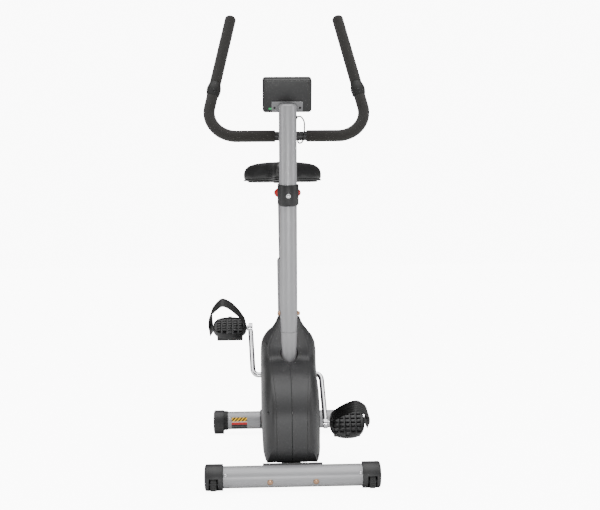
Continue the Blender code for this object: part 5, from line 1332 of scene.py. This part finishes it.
low = -CONSOLE[1] / 2
plate_z = -0.0015 - GAP
mesh = block("console_bracket_plate", (0.088, 0.030, 0.003),
             console_place @ Matrix.Translation((0, low + 0.018, plate_z)), 0.0008, 3)
plate = show("console_bracket_plate", mesh, bracket_grey, "frame", ["console_bracket"])
tab_place = console_place @ Matrix.Translation((0, low + 0.014, plate_z - 0.010))
carve(plate, loose(block("tab", (0.030, 0.030, 0.020), tab_place, 0.001)), operation="UNION")
holes = []
for x in (-BRACKET_SCREW_X, BRACKET_SCREW_X):
    at = console_place @ Vector((x, low + 0.015, plate_z))
    holes.append(loose(bar("hole", at - facing * 0.01, at + facing * 0.0008, 0.0036)))
cope = bar("cope", SEAM + UP_POST * 0.5, SEAM + UP_POST * (POST_LENGTH + 0.05), POST_R + GAP, 72)
carve(plate, loose(cope), *holes)
for x in (-BRACKET_SCREW_X, BRACKET_SCREW_X):
    at = console_place @ Vector((x, low + 0.015, plate_z - 0.0004))
    name = f"bracket_screw_{'left' if x < 0 else 'right'}"
    pan_screw(name, at, -facing, 0.0030, 0.0010, black_steel, "frame")


# ---- seat post and seat knob
# A chromed tube slides in a moulded bushing in the seat tube, and a red-headed pull pin locks
# it. The saddle bolts to a steel plate at its top.
SEAT_POST_R = 0.019
SEAT_POST_LENGTH = 0.385
SEAT_POST_INSERTION = 0.128
post_low = mouth - UP_SEAT * SEAT_POST_INSERTION
post_top = post_low + UP_SEAT * SEAT_POST_LENGTH
profile = [(0, SEAT_POST_R - 0.002), (0, SEAT_POST_R - 0.0005), (0.0005, SEAT_POST_R),
           (SEAT_POST_LENGTH - 0.007, SEAT_POST_R), (SEAT_POST_LENGTH - 0.007, SEAT_POST_R - 0.002)]
show("seat_post_tube", turned("seat_post_tube", profile, post_low, UP_SEAT, 80, loop=True), chrome, "seat",
     ["seat_post"])
mesh = block("saddle_plate", (0.060, 0.110, 0.004), Matrix.Translation(post_top), 0.0008)
show("saddle_plate", mesh, black_steel, "seat")
profile = [(0.0060, SEAT_POST_R + 0.0006), (0.0060, POST_R - 0.0026), (0.0050, POST_R - 0.0013),
           (0.0036, POST_R - 0.001), (GAP, POST_R - 0.001), (GAP, 0.0225), (-0.030, 0.0225),
           (-0.030, SEAT_POST_R + 0.0006)]
show("seat_bushing_moulding", turned("seat_bushing_moulding", profile, mouth, UP_SEAT, 80, loop=True),
     collar_plastic, "frame", ["seat_bushing"])
profile = [(0.0340, 0), (0.0340, 0.0110), (0.0334, 0.0134), (0.0318, 0.0152), (0.0300, 0.0160),
           (0.0180, 0.0160),
           (0.0158, 0.0154), (0.0130, 0.0118), (0.0112, 0.0100), (0.0010, 0.0100), (0.0010, 0.0055),
           (-0.0048, 0.0055), (-0.0048, 0)]
mesh = turned("seat_pull_knob", profile, knob_place, BACK_OF_SEAT, 96, ribs=18, rib_depth=0.0008)
show("seat_pull_knob", mesh, red_plastic, "seat_knob", ["seat_knob"], 40)


# ---- saddle
# A padded saddle: foam under stretched black vinyl, swollen in a cloth simulation, on a moulded
# base. A welt runs round its lower edge where the cover is stapled under.
SADDLE_WIDTH = 0.262
SADDLE_LENGTH = 0.270
NOSE_WIDTH = 0.072
SWELL_LIMIT = 0.0035       # how far the simulation may move the cover
VOXEL = 0.0045
CLOTH_STEPS = 20
STAPLED_HEIGHT = 0.004     # the part of the cover that is held fast
WELT_R = 0.0021
BASE_THICKNESS = 0.003     # of its rim; the cover hangs down round it


def saddle_outline(steps):
    """The saddle's plan view as a closed curve, nose to the front."""
    nose, wide, back_end = NOSE_WIDTH / 2, SADDLE_WIDTH / 2, SADDLE_LENGTH / 2
    half_plan = [(0, -back_end), (nose * 0.70, -back_end + 0.006), (nose, -back_end + 0.030),
                 (nose * 1.08, -0.060),
                 (nose * 1.45, -0.020), (wide * 0.78, 0.030), (wide * 0.98, 0.075), (wide * 0.93, 0.112),
                 (wide * 0.60, back_end - 0.004), (0, back_end - 0.012)]
    full = half_plan + [(-x, y) for x, y in reversed(half_plan[1:-1])]
    return smooth_curve([(x, y, 0) for x, y in full], steps, closed=True)


def soft_vinyl():
    """Upholstery vinyl: a leather grain of 1.6 mm pebbles, satin, with a soft second gloss."""
    made, tree, shader = finish_named("soft_vinyl", "#0D0D0E", 0.36, IOR=1.5)
    place = put(tree, "ShaderNodeTexCoord")
    pebbles = put(tree, "ShaderNodeTexVoronoi", {"Scale": 1 / 0.0016, "feature": "SMOOTH_F1"},
                  {"Vector": place.outputs["Object"]})
    creases = put(tree, "ShaderNodeTexNoise", {"Scale": 1 / 0.02, "Detail": 3.0},
                  {"Vector": place.outputs["Object"]})
    gloss = put(tree, "ShaderNodeMapRange", {"To Min": 0.28, "To Max": 0.44}, {"Value": creases.outputs[0]})
    tree.links.new(gloss.outputs["Result"], shader.inputs["Roughness"])
    grain = put(tree, "ShaderNodeBump", {"Strength": 0.35, "Distance": 0.0002},
                {"Height": pebbles.outputs["Distance"]})
    soft = put(tree, "ShaderNodeBump", {"Strength": 0.25, "Distance": 0.0008},
               {"Height": creases.outputs[0], "Normal": grain.outputs["Normal"]})
    tree.links.new(soft.outputs["Normal"], shader.inputs["Normal"])
    return made


base_z = post_top.z + 0.002 + GAP
saddle_y = post_top.y + 0.010
plan = saddle_outline(6)
rings = []
for share, height in ((0.86, 0), (0.88, 0.0008), (0.88, 0.0024), (0.87, BASE_THICKNESS)):
    rings.append([Vector((spot.x * share, saddle_y + spot.y * (share + 0.02), base_z + height))
                  for spot in plan])
show("saddle_pan", loft("saddle_pan", rings), cap_plastic, "seat", ["saddle_base"])

cushion_from = base_z + BASE_THICKNESS + GAP
rings = []
for share, height in ((0.89, 0.0), (0.945, 0.003), (0.975, 0.010), (0.982, 0.020), (0.972, 0.031),
                      (0.93, 0.042), (0.84, 0.0505), (0.70, 0.0555), (0.52, 0.0575), (0.30, 0.0570),
                      (0.12, 0.0565)):
    ring = []
    for spot in plan:
        dip = 0.006 * eased(0.10, 0, abs(spot.x * share) * 3) * eased(-0.04, 0.06, spot.y)
        dip *= 1 if height > 0.03 else 0
        ring.append(Vector((spot.x * share, saddle_y + spot.y * share, cushion_from + height - dip)))
    rings.append(ring)
cushion = show("saddle_cover", loft("saddle_cover", rings), soft_vinyl(), None)
remesh = cushion.modifiers.new("even", "REMESH")
remesh.mode = "VOXEL"
remesh.voxel_size = VOXEL
settle(cushion)
rest = [spot.co.copy() for spot in cushion.data.vertices]
cloth = cushion.modifiers.new("swell", "CLOTH")
cloth.settings.quality = 6
cloth.settings.mass = 0.3
cloth.settings.tension_stiffness = 18
cloth.settings.compression_stiffness = 18
cloth.settings.bending_stiffness = 3
cloth.settings.use_pressure = True
cloth.settings.uniform_pressure_force = 4
cloth.settings.effector_weights.gravity = 0
held = cushion.vertex_groups.new(name="stapled")
held.add([index for index, spot in enumerate(rest) if spot.z < cushion_from + STAPLED_HEIGHT], 1.0,
         "REPLACE")
cloth.settings.vertex_group_mass = "stapled"
for step in range(1, CLOTH_STEPS + 1):
    bpy.context.scene.frame_set(step)
settle(cushion)
for spot, before in zip(cushion.data.vertices, rest):
    move = spot.co - before
    if move.length > SWELL_LIMIT:
        spot.co = before + move.normalized() * SWELL_LIMIT
    spot.co.z = max(spot.co.z, cushion_from)
bpy.context.scene.frame_set(1)
relax = cushion.modifiers.new("relax", "SMOOTH")
relax.iterations = 6
relax.factor = 0.5
finer = cushion.modifiers.new("finer", "SUBSURF")
finer.levels = 1
settle(cushion)
cushion.vertex_groups.clear()
cushion.data.set_sharp_from_angle(angle=math.radians(80))
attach(cushion, "seat")
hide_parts("saddle_cushion")
welt = [Vector((spot.x * 0.965, saddle_y + spot.y * 0.968, cushion_from + 0.0035)) for spot in plan]
welt_rings = []
for index, spot in enumerate(welt):
    tangent = (welt[(index + 1) % len(welt)] - welt[index - 1]).normalized()
    out = Vector((-tangent.y, tangent.x, 0))
    rise = Vector((0, 0, WELT_R))
    turns = [math.pi * step / 6 for step in range(12)]
    welt_rings.append([spot + out * WELT_R * math.cos(turn) + rise * math.sin(turn) for turn in turns])
show("saddle_welt", loft("saddle_welt", welt_rings, loop=True), cap_plastic, "seat")
